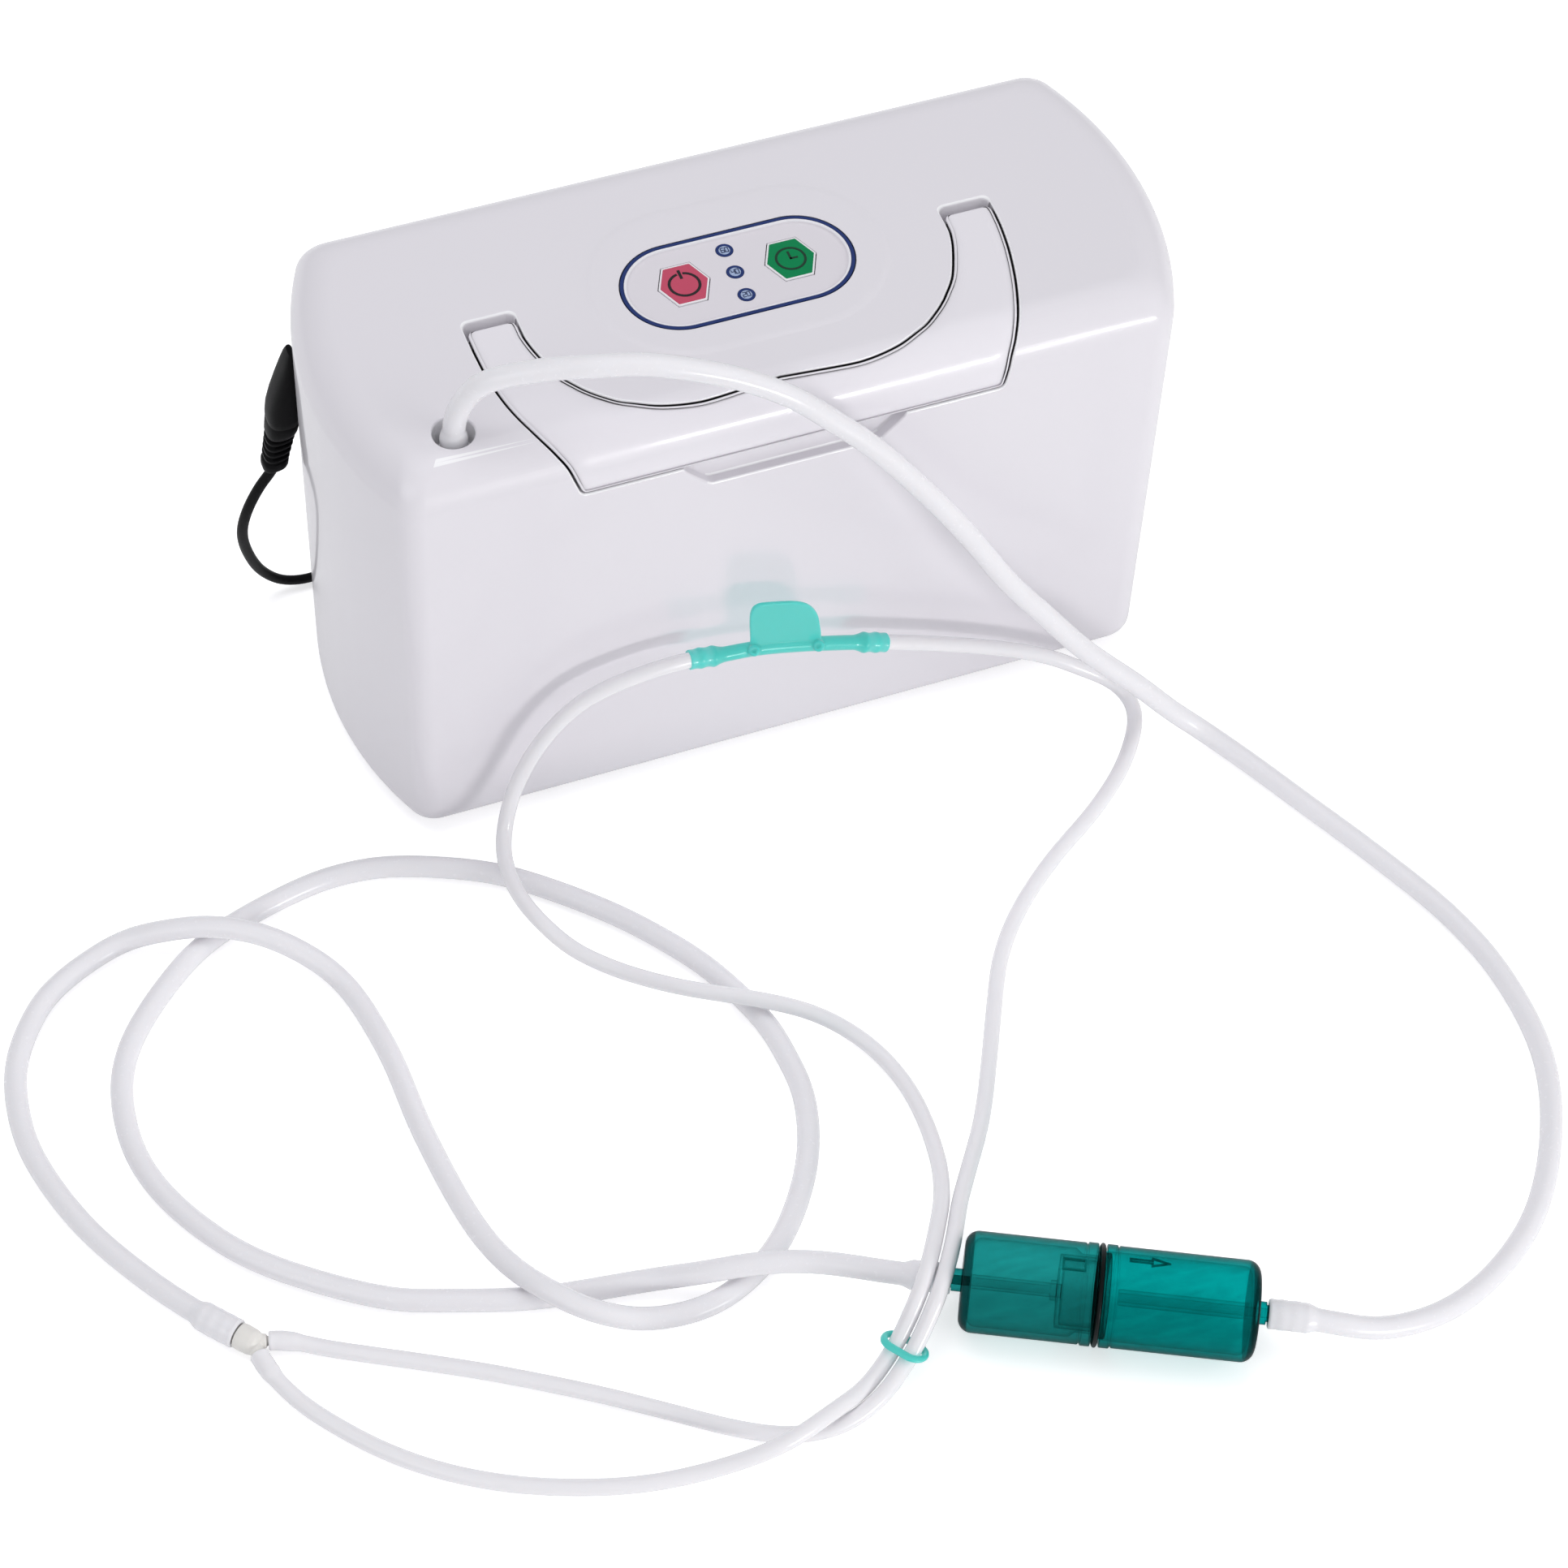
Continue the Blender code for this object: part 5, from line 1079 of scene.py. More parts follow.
def handle_row(i, top, bottom, edge, end_s=None, narrow=0.0):
    """Cross-section i of the handle; end_s moves it to that s and narrow slims it."""
    squeeze = edge / EDGE_R
    thick = top - bottom
    chamfer = min(0.5, thick * 0.2)
    section = [(inset * squeeze, top + height * squeeze) for inset, height in EDGE_ARC]
    section += [(0.0, top - max(thick * 0.5, edge * 1.01)), (0.0, bottom + chamfer),
                (chamfer * 0.9, bottom)]
    inner, outer = [], []
    for inset, height in section:
        inside, outside = inset_pairs(inset)[i]
        inner.append((*inside, height))
        outer.append((*outside, height))

    def between(start, end, height, parts):
        return [(start[0] + (end[0] - start[0]) * q / parts,
                 start[1] + (end[1] - start[1]) * q / parts, height) for q in range(1, parts)]

    ring = ([inner[0]] + between(inner[0], outer[0], top, 8) + outer
            + between(outer[-1], inner[-1], bottom, 4) + inner[:0:-1])
    if end_s is not None:
        xs = [p[0] for p in ring]
        middle, half = (min(xs) + max(xs)) / 2, (max(xs) - min(xs)) / 2
        ring = [(middle + (x - middle) * (1 - narrow / half), end_s, h) for x, s, h in ring]
    return [surf(*p) for p in ring]


def corner_drop(radius, dist):
    return radius - math.sqrt(max(0.0, radius * radius - max(0.0, radius - dist) ** 2))


def tip_row(i, dist):
    """Row of an arm end, with rounded corners, top edge and underside."""
    ahead = NOSE_S - TIP_S - dist
    return handle_row(i, -corner_drop(TIP_EDGE_R, dist),
                      -NOSE_R - math.sqrt(NOSE_R * NOSE_R - ahead * ahead),
                      EDGE_R * min(1.0, 0.4 + 0.6 * dist / 1.2), TIP_S + dist,
                      corner_drop(TIP_CORNER_R, dist))


row_count = len(band_pair(0.0))
rows = [tip_row(0, dist) for dist in TIP_ROWS]
rows += [handle_row(i, 0.0, -HANDLE_T, EDGE_R) for i in range(row_count)]
rows += [tip_row(row_count - 1, dist) for dist in reversed(TIP_ROWS)]
place(loft("carry_handle_fine", rows, MAT["handle"], 50), "handle", "handle", slot="handle_white")

# ---------------------------------------------------------- control panel
# (inset, z) of the navy band and of the dished film inside it
BAND = [(0.0, TOP - 1.0), (0.0, PANEL_TOP - 0.10), (0.05, PANEL_TOP - 0.03), (0.14, PANEL_TOP),
        (0.78, PANEL_TOP), (0.84, PANEL_TOP - 0.03), (0.86, PANEL_TOP - 0.1), (0.86, TOP - 1.0)]
DISH = [(0.92, TOP - 1.0)] + [(e, PANEL_TOP - d) for e, d in (
    (0.92, 0.10), (0.97, 0.03), (1.05, 0), (1.30, 0.03), (1.45, 0.10), (1.6, 0.30),
    (1.75, 0.55), (1.9, 0.70), (2.3, 0.74))]
band = loft("panel_navy_band", [panel_ring(*q) for q in BAND], MAT["navy"], loop=True)
place(band, "casing", "panel_ring", slot="panel_navy")
dish = loft("panel_dish", [panel_ring(*q) for q in DISH], MAT["label"], 60)
dish = weighted(tidy(boolean(dish, control_cutters(0.5, 0.08)), 60))


def dish_slot(face):
    x, y, _ = face.center / MM
    past = max(abs(x - PANEL_C[0]) - (PANEL_L - PANEL_W) / 2, 0.0)
    return 1 if math.hypot(past, y - PANEL_C[1]) > PANEL_W / 2 - 1.6 else 0


paint(dish, ("label_rim",), dish_slot)
place(dish, "casing", "panel_label", slot="panel_label")

# key levels as (change of size, z)
KEY_RINGS = [(1.6, TOP - 4.6), (1.6, TOP - 3.6), (0, TOP - 3.5)] + [(e, FILM_Z + dz) for e, dz in (
    (0, 0.10), (-0.10, 0.17), (-0.25, 0.20), (-0.95, 0.20), (-1.02, 0.24), (-1.25, 0.27),
    (-4, 0.32), (-8, 0.35), (-11, 0.36))]


def key_slot(face):
    return 1 if face.center.z / MM > FILM_Z + 0.215 and face.normal.z > 0.5 else 0


for body, centre, colour in (("power", KEY_POWER, "red"), ("set", KEY_SET, "green")):
    cap = loft(body + "_key_cap", [level(round_poly(hexagon(*centre, KEY_SIZE + e), 0.35, 3), z)
                                   for e, z in KEY_RINGS], MAT["key_border"], 60)
    paint(cap, ("key_" + colour,), key_slot)
    place(cap, body + "_key", body + "_button", slot="key_" + colour)


def printed(name, outlines, low, high, mat):
    """Thin printed shape from separate outlines, between heights above the film."""
    parts = [prism("part", o, FILM_Z + low, FILM_Z + high) for o in outlines]
    return set_mat(join(name, parts), mat)


def arc_band(cx, cy, radius, width, start, end):
    turns = [math.radians(start + (end - start) * i / 28) for i in range(29)]
    outer, inner = radius + width / 2, radius - width / 2
    return ([(cx + outer * math.cos(t), cy + outer * math.sin(t)) for t in turns]
            + [(cx + inner * math.cos(t), cy + inner * math.sin(t)) for t in reversed(turns)])


def bar(x0, y0, x1, y1, width):
    along = Vector((x1 - x0, y1 - y0)).normalized()
    side = Vector((-along.y, along.x)) * width / 2
    return [(x0 + side.x, y0 + side.y), (x0 - side.x, y0 - side.y),
            (x1 - side.x, y1 - side.y), (x1 + side.x, y1 + side.y)]


x, y = KEY_POWER
power_marks = [arc_band(x, y - 0.3, 3.65, 0.68, 101, 439), bar(x, y + 1.6, x, y + 4.5, 0.72)]
x, y = KEY_SET
timer_marks = [arc_band(x, y - 0.1, 3.5, 0.6, 0, 359.5), bar(x, y - 0.35, x, y + 2.3, 0.6),
               bar(x - 0.2, y - 0.1, x + 1.8, y - 0.1, 0.6)]
for name, marks, mat, body in (("power_glyph", power_marks, "glyph", "power_key"),
                               ("timer_glyph", timer_marks, "glyph_green", "set_key")):
    glyph = printed(name, marks, 0.27, 0.385, MAT[mat])
    smooth(glyph.data, 30)
    place(glyph, body)

SEGMENTS = {"0": "abcdef", "2": "abged", "4": "fgbc", "6": "afgedc"}


def digits(text, cx, cy, height=1.45, stroke=0.24):
    """Seven-segment digits centred on a point."""
    out = []
    width, gap = height * 0.52, height * 0.18
    x0 = cx - (len(text) * width + (len(text) - 1) * gap) / 2
    for i, digit in enumerate(text):
        left = x0 + i * (width + gap)
        right, top, bottom = left + width, cy + height / 2, cy - height / 2
        ends = {"a": (left, top, right, top), "b": (right, top, right, cy),
                "c": (right, cy, right, bottom), "d": (left, bottom, right, bottom),
                "e": (left, cy, left, bottom), "f": (left, top, left, cy),
                "g": (left, cy, right, cy)}
        out += [bar(*ends[s], stroke) for s in SEGMENTS[digit]]
    return out


LENS_R, RIM_IR = LED_R - 0.70, LED_R - 0.66
for i, (centre, text) in enumerate(zip(LEDS, ("60", "40", "20")), 1):
    lens = revolve("led_window_%d" % i, round_prof([
        (TOP - 4.2, 0), (TOP - 4.2, LENS_R), (FILM_Z + 0.10, LENS_R),
        (FILM_Z + 0.16, LED_R * 0.5), (FILM_Z + 0.18, 0)], 0.08, closed=False),
        (*centre, 0), (0, 0, 1), 40, hollow=False, mat=MAT["led"])
    place(lens, "casing", "led_lens_%d" % i, slot="led_blue")
    rim = revolve("led_rim_%d" % i, round_prof([
        (TOP - 2.0, LED_R), (FILM_Z + 0.12, LED_R), (FILM_Z + 0.12, RIM_IR),
        (TOP - 2.0, RIM_IR)], 0.07), (*centre, 0), (0, 0, 1), 40, mat=MAT["navy"])
    place(rim, "casing")
    place(printed("led_mark_%d" % i, digits(text, *centre), 0.13, 0.205, MAT["led_digit"]),
          "casing")

# ------------------------------------------------- rear, filter, base, pad
def slot_cut(cx, cz, width, height, face_y):
    return rbox_y("slot", cx, cz, width, height, height / 2 - 0.01, [
        (0, 35), (0, face_y - 0.5), (-0.12, face_y - 0.22), (-0.4, face_y + 0.02),
        (-0.4, 50)], 5)


rear = rbox_y("rear_cover_fine", 0, 64, 150, 88, 7.7, [
    (0, HD - WALL), (0, HD - 0.5), (0.06, HD - 0.3), (0.2, HD - 0.14), (0.42, HD - 0.05)], 10)
cuts = [slot_cut(x, 38.5 + 8 * k, 26, 3.0, HD - 0.05) for x in (-52, -18) for k in range(7)]
cuts.append(rbox_y("filter_cut", 44, 60, 46.6, 40.6, 5, [
    (0, 35), (0, HD - 0.4), (-0.15, HD - 0.15), (-0.4, HD - 0.02), (-0.4, 50)]))
rear = weighted(set_mat(tidy(boolean(rear, cuts), 42), MAT["cover"]))
place(rear, "casing", "rear_cover", slot="cover_white")

cover = rbox_y("filter_cover_fine", 44, 60, 46, 40, 4.7, [
    (0, HD - WALL), (0, HD + 0.2), (0.08, HD + 0.5), (0.3, HD + 0.75), (0.7, HD + 0.9)], 10)
cuts = [slot_cut(44, 47.0 + 5.2 * k, 34, 2.4, HD + 0.9) for k in range(6)]
cuts.append(rbox_y("tab_cut", 44, 80.6, 15, 5.0, 2.3, [
    (0.4, HD - 0.1), (0, HD + 0.5), (-0.5, HD + 1.0), (-0.5, HD + 3)]))
cover = weighted(set_mat(tidy(boolean(cover, cuts), 42), MAT["cover"]))
place(cover, "filter_cover", "inlet_filter_cover", slot="cover_white")

base = loft("base_plate_fine", [level(plan(9.1 + e, 4.7, 16, 6), Z_BODY + dz) for e, dz in
                                ((0.5, 0), (0.15, 0.12), (0, 0.4), (0, 2.6))])
cuts = [cyl("sink", (*c, 0), (0, 0, 1), 3.6, 0, Z_BODY + 0.9) for c in SCREWS]
cuts += [cyl("hole", (*c, 0), (0, 0, 1), 1.9, 0, 8, 24) for c in SCREWS]
base = set_mat(tidy(boolean(base, cuts), 40), MAT["cover"])
place(base, "casing", "base_plate", slot="cover_white")

pad = loft("rubber_pad_fine", [level(rrect(0, 0, 110 - 2 * e, 52 - 2 * e, 6 - e), z) for e, z in
                               ((0.6, 0.0), (0.2, 0.1), (0.0, 0.4), (0.0, Z_BODY - 0.1))])
cuts = [box("groove", (-50 + 5 * i, -23, -1), (-48.4 + 5 * i, 23, 0.5)) for i in range(21)]
pad = set_mat(tidy(boolean(pad, cuts), 40), MAT["pad"])
place(pad, "casing", "anti_slip_pad", slot="pad_black")

for i, (x, y) in enumerate(SCREWS, 1):
    screw = revolve("screw_fine_%d" % i, round_prof([
        (1.0, 0), (1.0, 2.9), (Z_BODY + 0.8, 3.3), (Z_BODY + 0.8, 1.6), (10, 1.6), (11, 0)],
        0.25, closed=False), (x, y, 0), (0, 0, 1), 32, hollow=False)
    cross = [box("slot_x", (x - 1.9, y - 0.32, 0), (x + 1.9, y + 0.32, 1.9)),
             box("slot_y", (x - 0.33, y - 1.9, 0), (x + 0.33, y + 1.9, 1.91))]
    screw = set_mat(tidy(boolean(screw, cross), 40), MAT["steel"])
    place(screw, "casing", "base_screw_%d" % i, slot="screw_steel")

# ------------------------------------------------ outlet barb, jack, plug
barb = revolve("outlet_barb_fine", round_prof([
    (100, 1.0), (100, 2.2), (108, 2.2), (108, 4.6), (111.5, 4.6), (111.5, 1.9), (119, 1.9),
    (121, 2.25), (123.4, 1.95), (124, 2.25), (126.4, 1.7), (126.4, 1.0)], 0.15),
    (*OUTLET, 0), (0, 0, 1), 40, mat=MAT["barb"])
place(barb, "casing", "outlet_nozzle", slot="barb_white")
# painted light: the seat ring inside the outlet uses the lighter edge white
seat = revolve("outlet_seat_ring", round_prof([
    (119.5, 4.0), (119.5, 5.5), (127.0, 5.5), (127.0, 4.97), (121.4, 4.97), (120.9, 4.0)],
    0.12), (*OUTLET, 0), (0, 0, 1), 48, mat=MAT["edge"])
place(seat, "casing")


def plug_ring(cx, cz, half_x, half_y, tilt):
    """Rounded-square ring of the plug; tilt is its rise per unit of x."""
    out = []
    for i in range(40):
        t = 2 * math.pi * (i + 0.5) / 40
        cos, sin = math.cos(t), math.sin(t)
        dx = half_x * math.copysign(abs(cos) ** 0.72, cos)
        dy = half_y * math.copysign(abs(sin) ** 0.72, sin)
        out.append((cx + dx, 35.0 + dy, cz + dx * tilt))
    return out


# plug rings from the top down as (centre x, z, half x, half y, tilt)
plug_rings = [
    (-100.85, 98.75, 0.25, 1.2, 0.0), (-100.95, 98.5, 0.75, 2.1, 0.0),
    (-101.3, 97, 1.15, 2.8, 0.0), (-101.9, 94, 1.6, 3.5, 0.0), (-102.7, 89.5, 2.45, 4.1, 0.0),
    (-103.5, 85, 3.2, 4.5, 0.0), (-104.1, 81, 3.75, 4.65, 0.0), (-104.3, 78, 3.95, 4.75, 0.0),
    (-104.35, 76.5, 3.98, 4.75, 0.0), (-104.38, 76.2, 3.85, 4.6, 0.0),
    (-104.4, 75.8, 3.85, 4.6, 0.0), (-104.42, 75.5, 3.98, 4.72, 0.0),
    (-104.8, 73.3, 3.9, 4.5, 0.05), (-105.1, 72.2, 3.75, 4.25, 0.1),
    (-105.2, 71.6, 3.4, 3.8, 0.1), (-105.25, 71.35, 2.8, 3.0, 0.12)]
for i in range(4):      # strain-relief ribs
    x, z, half = -105.35 - 0.42 * i, 71.0 - 2.0 * i, 3.65 - 0.13 * i
    plug_rings += [(x - dx, z - dz, half_x, half_y, 0.15) for dx, dz, half_x, half_y in (
        (0.02, 0.05, 2.75, 2.9), (0.04, 0.18, half - 0.22, 3.5), (0.06, 0.38, half, 3.72),
        (0.1, 0.95, half, 3.72), (0.12, 1.12, half - 0.22, 3.5), (0.14, 1.25, 2.75, 2.9),
        (0.2, 1.75, 2.7, 2.85))]
plug_rings += [
    (-106.98, 63.0, 2.9, 3.05, 0.18), (-107.0, 62.8, 3.2, 3.4, 0.18),
    (-107.1, 62.3, 3.35, 3.55, 0.18), (-107.25, 61.0, 3.3, 3.5, 0.18),
    (-107.32, 60.45, 3.15, 3.3, 0.18), (-107.35, 60.25, 2.75, 2.9, 0.18)]
plug = loft("dc_plug_body", [plug_ring(*q) for q in plug_rings], MAT["black"], 40)
place(plug, "dc_lead_set", "dc_plug", slot="cord_black")
tip = revolve("dc_plug_tip", round_prof([(0, 1.4), (0, 2.6), (14.2, 2.6), (14.2, 1.4)], 0.3),
              (-102.5, *JACK), (1, 0, 0), 32, mat=MAT["steel"])
place(tip, "dc_lead_set")
path = relax(spline(LEAD_PATH, 1.2)[0], 4)
angle = 2 * np.pi * (np.arange(32) + 0.5) / 32
two_core = 1.0 - 0.17 * np.cos(angle * 2 + math.pi) * 0.5 - 0.085
lead = sweep("dc_lead_cord", path, np.full(len(path), 1.42), 32, None, MAT["cord"], 60,
             shape=two_core)
place(lead, "dc_lead_set", "dc_lead", slot="cord_black")
socket = revolve("lead_socket_fine", round_prof([
    (0.6, 1.7), (0.6, 3.0), (6, 4.4), (7, 4.5), (7.5, 4.2), (8.0, 4.5), (20, 4.5), (20, 2.8),
    (6, 2.8), (6, 1.7)], 0.3), (-46.6, 57.36, 4.7), (0.999, 0.04, 0.0), 40, mat=MAT["black"])
place(socket, "dc_lead_set", "lead_socket", slot="jack_black")

# ------------------------------------------------------------------- hoses
for name, path, cuffs in (
        ("outlet_hose", OUTLET_PATH, ((6.2, 3.3, CUFF_IR), (8.5, CUFF_R, CUFF_IR))),
        ("supply_hose", SUPPLY_PATH, ((8.5, CUFF_R, CUFF_IR), (9, CUFF_R, CUFF_IR)))):
    line = hose(name + "_soft", path, HOSE_R, HOSE_IR, cuffs, 0.05, MAT["hose"])
    place(line, "hose_set", name, slot="hose_white")
for name, path in (("cannula_tube_a", TUBE_A_PATH), ("cannula_tube_b", TUBE_B_PATH)):
    line = hose(name + "_soft", path, TUBE_R, TUBE_IR, ((5.0, 2.3, 1.5), None), 0.03,
                MAT["tube"], sides=24)
    place(line, "hose_set", name, slot="hose_white")

# ------------------------------------------------------------------ bottle
BOTTLE_O = Vector((*BOTTLE_A, BOTTLE_Z))
BOTTLE_X = Vector((BOTTLE_B[0] - BOTTLE_A[0], BOTTLE_B[1] - BOTTLE_A[1], 0)).normalized()
BOTTLE_Y = Vector((0, 0, 1)).cross(BOTTLE_X)
JOINT = 31.4            # parting line of the two halves
END_WALL, BORE_R = 1.9, 10.2
STUB = [(10.5, 1.1), (10.5, 1.6), (8, 2.3), (7.8, 1.95), (5, 2.3), (4.8, 1.95)]


def shoulder(end, inward, radius, side_r, turns):
    return [(end + inward * (radius - radius * math.sin(t)),
             side_r - radius + radius * math.cos(t)) for t in turns]


def shoulders(end, inward):
    """Outer and inner rounding of a bottle end."""
    return (shoulder(end, inward, 3.2, BOTTLE_R, np.linspace(math.pi / 2, 0, 14)),
            shoulder(end + inward * END_WALL, inward, 2.0, BORE_R,
                     np.linspace(0, math.pi / 2, 9)))


def offsets(base, *pairs):
    """Profile points from (distance from base, change from the bottle radius)."""
    return [(base + da, BOTTLE_R + dr) for da, dr in pairs]


def bottle_place(face):
    """Distance along the bottle axis and from it."""
    centre = face.center / MM - BOTTLE_O
    along = centre.dot(BOTTLE_X)
    return along, (centre - BOTTLE_X * along).length


def left_slot(face):
    along, radius = bottle_place(face)
    if 1.6 < along < JOINT - 1.2 and radius < 10.5:
        return 2
    return 1 if -0.05 < along < 2.1 and radius > 3.5 else 0


def right_slot(face):
    along, radius = bottle_place(face)
    if 35.5 < along < BOTTLE_L - 2.2 and radius < 2.2:
        return 1
    if JOINT + 1.2 < along < BOTTLE_L - 1.6 and radius < 10.5:
        return 3
    return 2 if BOTTLE_L - 2.1 < along < BOTTLE_L + 0.05 and radius > 3.5 else 0


outer, inner = shoulders(0.0, 1)
prof = [(-a, r) for a, r in STUB] + [(-2.3, 1.95), (-2.3, 2.65), (0.1, 2.65), (0.0, 2.9)] + outer
prof += offsets(JOINT, (-3.9, 0), (-3.75, -0.1), (-3.7, -0.3), (-3.4, -0.3), (-3.3, 0),
                (-3.15, 0.15), (-1.15, 0.15), (-1.0, 0.05), (-0.95, -0.2))
prof += [(JOINT + da, r) for da, r in ((-0.95, 9.9), (2.0, 9.9), (2.2, 9.7), (2.2, 9.1),
                                       (2.0, 9.0), (-4.5, 9.0), (-6.0, BORE_R))]
prof += inner + [(END_WALL, 1.1)]
half = revolve("bottle_half_left_clear", prof, BOTTLE_O, BOTTLE_X, 96, mat=MAT["bottle_l"],
               sharp=32)
paint(half, ("end_l", "wall"), left_slot)
place(half, "bottle_cap", "bottle_left_half", slot="teal_light")

outer, inner = shoulders(BOTTLE_L, -1)
prof = [(BOTTLE_L + a, r) for a, r in STUB + [(2.0, 1.95), (2.0, 2.65), (0, 2.65), (0, 2.9)]]
prof += outer
prof += offsets(JOINT, (4.0, 0), (3.85, -0.1), (3.8, -0.3), (3.5, -0.3), (3.4, 0),
                (3.25, 0.15), (1.2, 0.15), (1.05, 0.05), (1.0, -0.2))
prof += [(JOINT + 1.0, BORE_R)] + inner
prof += [(BOTTLE_L - END_WALL, 1.9), (36.2, 1.9), (36.0, 1.7), (36.0, 1.3), (36.2, 1.1)]
half = revolve("bottle_half_right_deep", prof, BOTTLE_O, BOTTLE_X, 96, mat=MAT["bottle_r"],
               sharp=32)
paint(half, ("inner", "end_r", "wall"), right_slot)
place(half, "hose_set", "bottle_right_half", slot="teal_dark")

o_ring = revolve("o_ring_fine", [(JOINT + 0.66 * math.cos(t), 11.1 + 0.9 * math.sin(t))
                                 for t in np.linspace(0, 2 * math.pi, 17)[:-1]],
                 BOTTLE_O, BOTTLE_X, 96, mat=MAT["o_ring"], sharp=None)
place(o_ring, "hose_set", "bottle_o_ring", slot="o_ring_black")
# inside: a baffle cup on a stem tube, with a raised window frame
cup = revolve("bottle_baffle_cup", round_prof([
    (20.4, 1.6), (20.4, 2.35), (22.0, 2.35), (22.0, 8.5), (32.6, 8.5), (32.6, 7.7), (23.0, 7.7),
    (23.0, 1.6)], 0.25), BOTTLE_O, BOTTLE_X, 48, mat=MAT["inner"])
place(cup, "bottle_cap", "bottle_insert", slot="insert_teal")
stem = revolve("bottle_stem_tube", round_prof([(2.0, 1.0), (2.0, 1.65), (20.3, 1.65),
                                               (20.3, 1.0)], 0.2),
               BOTTLE_O, BOTTLE_X, 40, mat=MAT["inner"])
place(stem, "bottle_cap")


def wrap(outline, radius):
    """Wraps an outline of (distance along, degrees) round the bottle axis."""
    out = []
    for along, degrees in outline:
        t = math.radians(degrees)
        out.append(tuple(BOTTLE_O + BOTTLE_X * along + BOTTLE_Y * (radius * math.cos(t))
                         + Vector((0, 0, 1)) * (radius * math.sin(t))))
    return out


bars = []
for a0, a1, g0, g1 in ((22.3, 27.8, 64, 66), (22.3, 27.8, 85, 87), (22.3, 22.7, 66, 85),
                       (27.4, 27.8, 66, 85)):
    outline = [(a0, g0), (a1, g0)] + [(a1, g0 + (g1 - g0) * i / 6) for i in range(1, 7)]
    outline += [(a0, g1)] + [(a0, g1 + (g0 - g1) * i / 6) for i in range(1, 6)]
    bars.append(loft("bar", [wrap(outline, 8.6), wrap(outline, 9.3)]))
window = set_mat(join("bottle_window_frame", bars), MAT["insert"])
smooth(window.data, 30)
place(window, "bottle_cap")
ARROW = [(37.3, 70.5), (42.3, 70.5), (42.3, 65.5), (46.8, 73.0), (42.3, 80.5), (42.3, 75.5),
         (37.3, 75.5)]
ARROW_IN = [(37.8, 71.4), (42.8, 71.4), (42.8, 68.0), (45.9, 73.0), (42.8, 78.0),
            (42.8, 74.6), (37.8, 74.6)]
high, low = BOTTLE_R + 0.22, BOTTLE_R - 0.3
arrow = loft("bottle_flow_arrow", [wrap(ARROW, high), wrap(ARROW_IN, high), wrap(ARROW_IN, low),
                                   wrap(ARROW, low)], MAT["bottle_r"], 30, loop=True)
place(arrow, "hose_set")

# ----------------------------------------------------------------- Y piece
centre = Vector((-177.4, -169.0, 3.4))
along = Vector((0.645, -0.764, -0.01)).normalized()
fork = centre + along * 1.6
parts = [revolve("trunk", [(-9.0, 0), (-9.0, 1.7), (-7, 2.25), (-4.6, 1.9), (-1.8, 1.9),
                           (-1.8, 3.1), (-0.6, 3.2), (1.8, 3.1), (2.9, 2.8), (3.6, 2.1),
                           (3.8, 0)], centre, along, 40, hollow=False)]
for path in (TUBE_A_PATH, TUBE_B_PATH):
    parts.append(revolve("branch", [(0, 0), (0, 1.75), (3.4, 1.7), (3.6, 1.1), (8.0, 1.05),
                                    (8.0, 0)],
                         fork, (Vector(path[0]) - fork).normalized(), 32, hollow=False))
fitting = set_mat(voxel(join("y_fitting_soft", parts), 0.16), MAT["cream"])
place(fitting, "hose_set", "y_connector", slot="y_cream")

# ---------------------------------------- slider, a ring round the tube pair
along = (Vector(PAIR[2]) - Vector(PAIR[1])).normalized()
across = along.cross(Vector((0.0, 0.0, 1.0))).normalized()
normal = along.cross(across)
centre = (Vector(PAIR[1]) + Vector(PAIR[2])) / 2 - along * 0.8
rings = []
for i in range(14):
    t = 2 * math.pi * i / 14
    shift, grow = 0.80 * math.cos(t), 0.80 * math.sin(t)
    rings.append([tuple(centre + along * shift + across * x + normal * y + along * (0.45 * y))
                  for x, y in stadium(0, 0, 10.3 + 2 * grow, 6.1 + 2 * grow, 12)])
slider = loft("slider_ring_soft", rings, MAT["aqua"], None, loop=True)
place(slider, "slider", "cannula_slider", slot="aqua")

# ------------------------------------------------------------ nasal piece
path, along = spline([(x, NASAL_Y, z) for x, z in NASAL], 0.5)
path = relax(path, 10)
total = along[-1]
from_end = np.minimum(along, total - along)
core = 1.85 + 0.10 * np.clip((along / total - 0.5) * 2, -1, 1) ** 2
sleeve = np.full(len(along), 2.40)
for height, where, width in ((0.27, 3.0, 0.8), (0.29, 6.4, 0.85), (0.10, 0.3, 0.6)):
    sleeve += height * np.exp(-((from_end - where) / width) ** 2)
fade = np.clip((9.6 - from_end) / 3.2, 0, 1)
fade = fade * fade * (3 - 2 * fade)
tube = sweep("nasal_tube", path, core + fade * (sleeve - core), 40)
# tab outline (x, z): a smooth curve, closed by one last point
TAB = [(-13.2, 49.5), (-13.4, 55), (-13.7, 60.8), (-13.6, 64.3), (-12.9, 66.3), (-11.4, 67.0),
       (-9.0, 66.5), (-6.6, 65.8), (-1.6, 64.0), (1.5, 61.7), (3.7, 57.9), (4.6, 53.5),
       (5.2, 48), (5.0, 44.6)]
TAB_LAST = (-3.6, 48.0)
curve, _ = spline([(x, NASAL_Y, z) for x, z in TAB], 0.8)
outline = [(float(q[0]), float(q[2])) for q in curve] + [TAB_LAST]
tab = loft("nasal_tab", [[(x, NASAL_Y + d, z) for x, z in outline] for d in (-0.55, 0.55)])
PRONG_AXIS = Vector((-0.24, -0.69, 0.68)).normalized()
PRONGS = [(x, NASAL_Y, z) for x, z in ((-12.4, 50.3), (4.6, 45.4))]
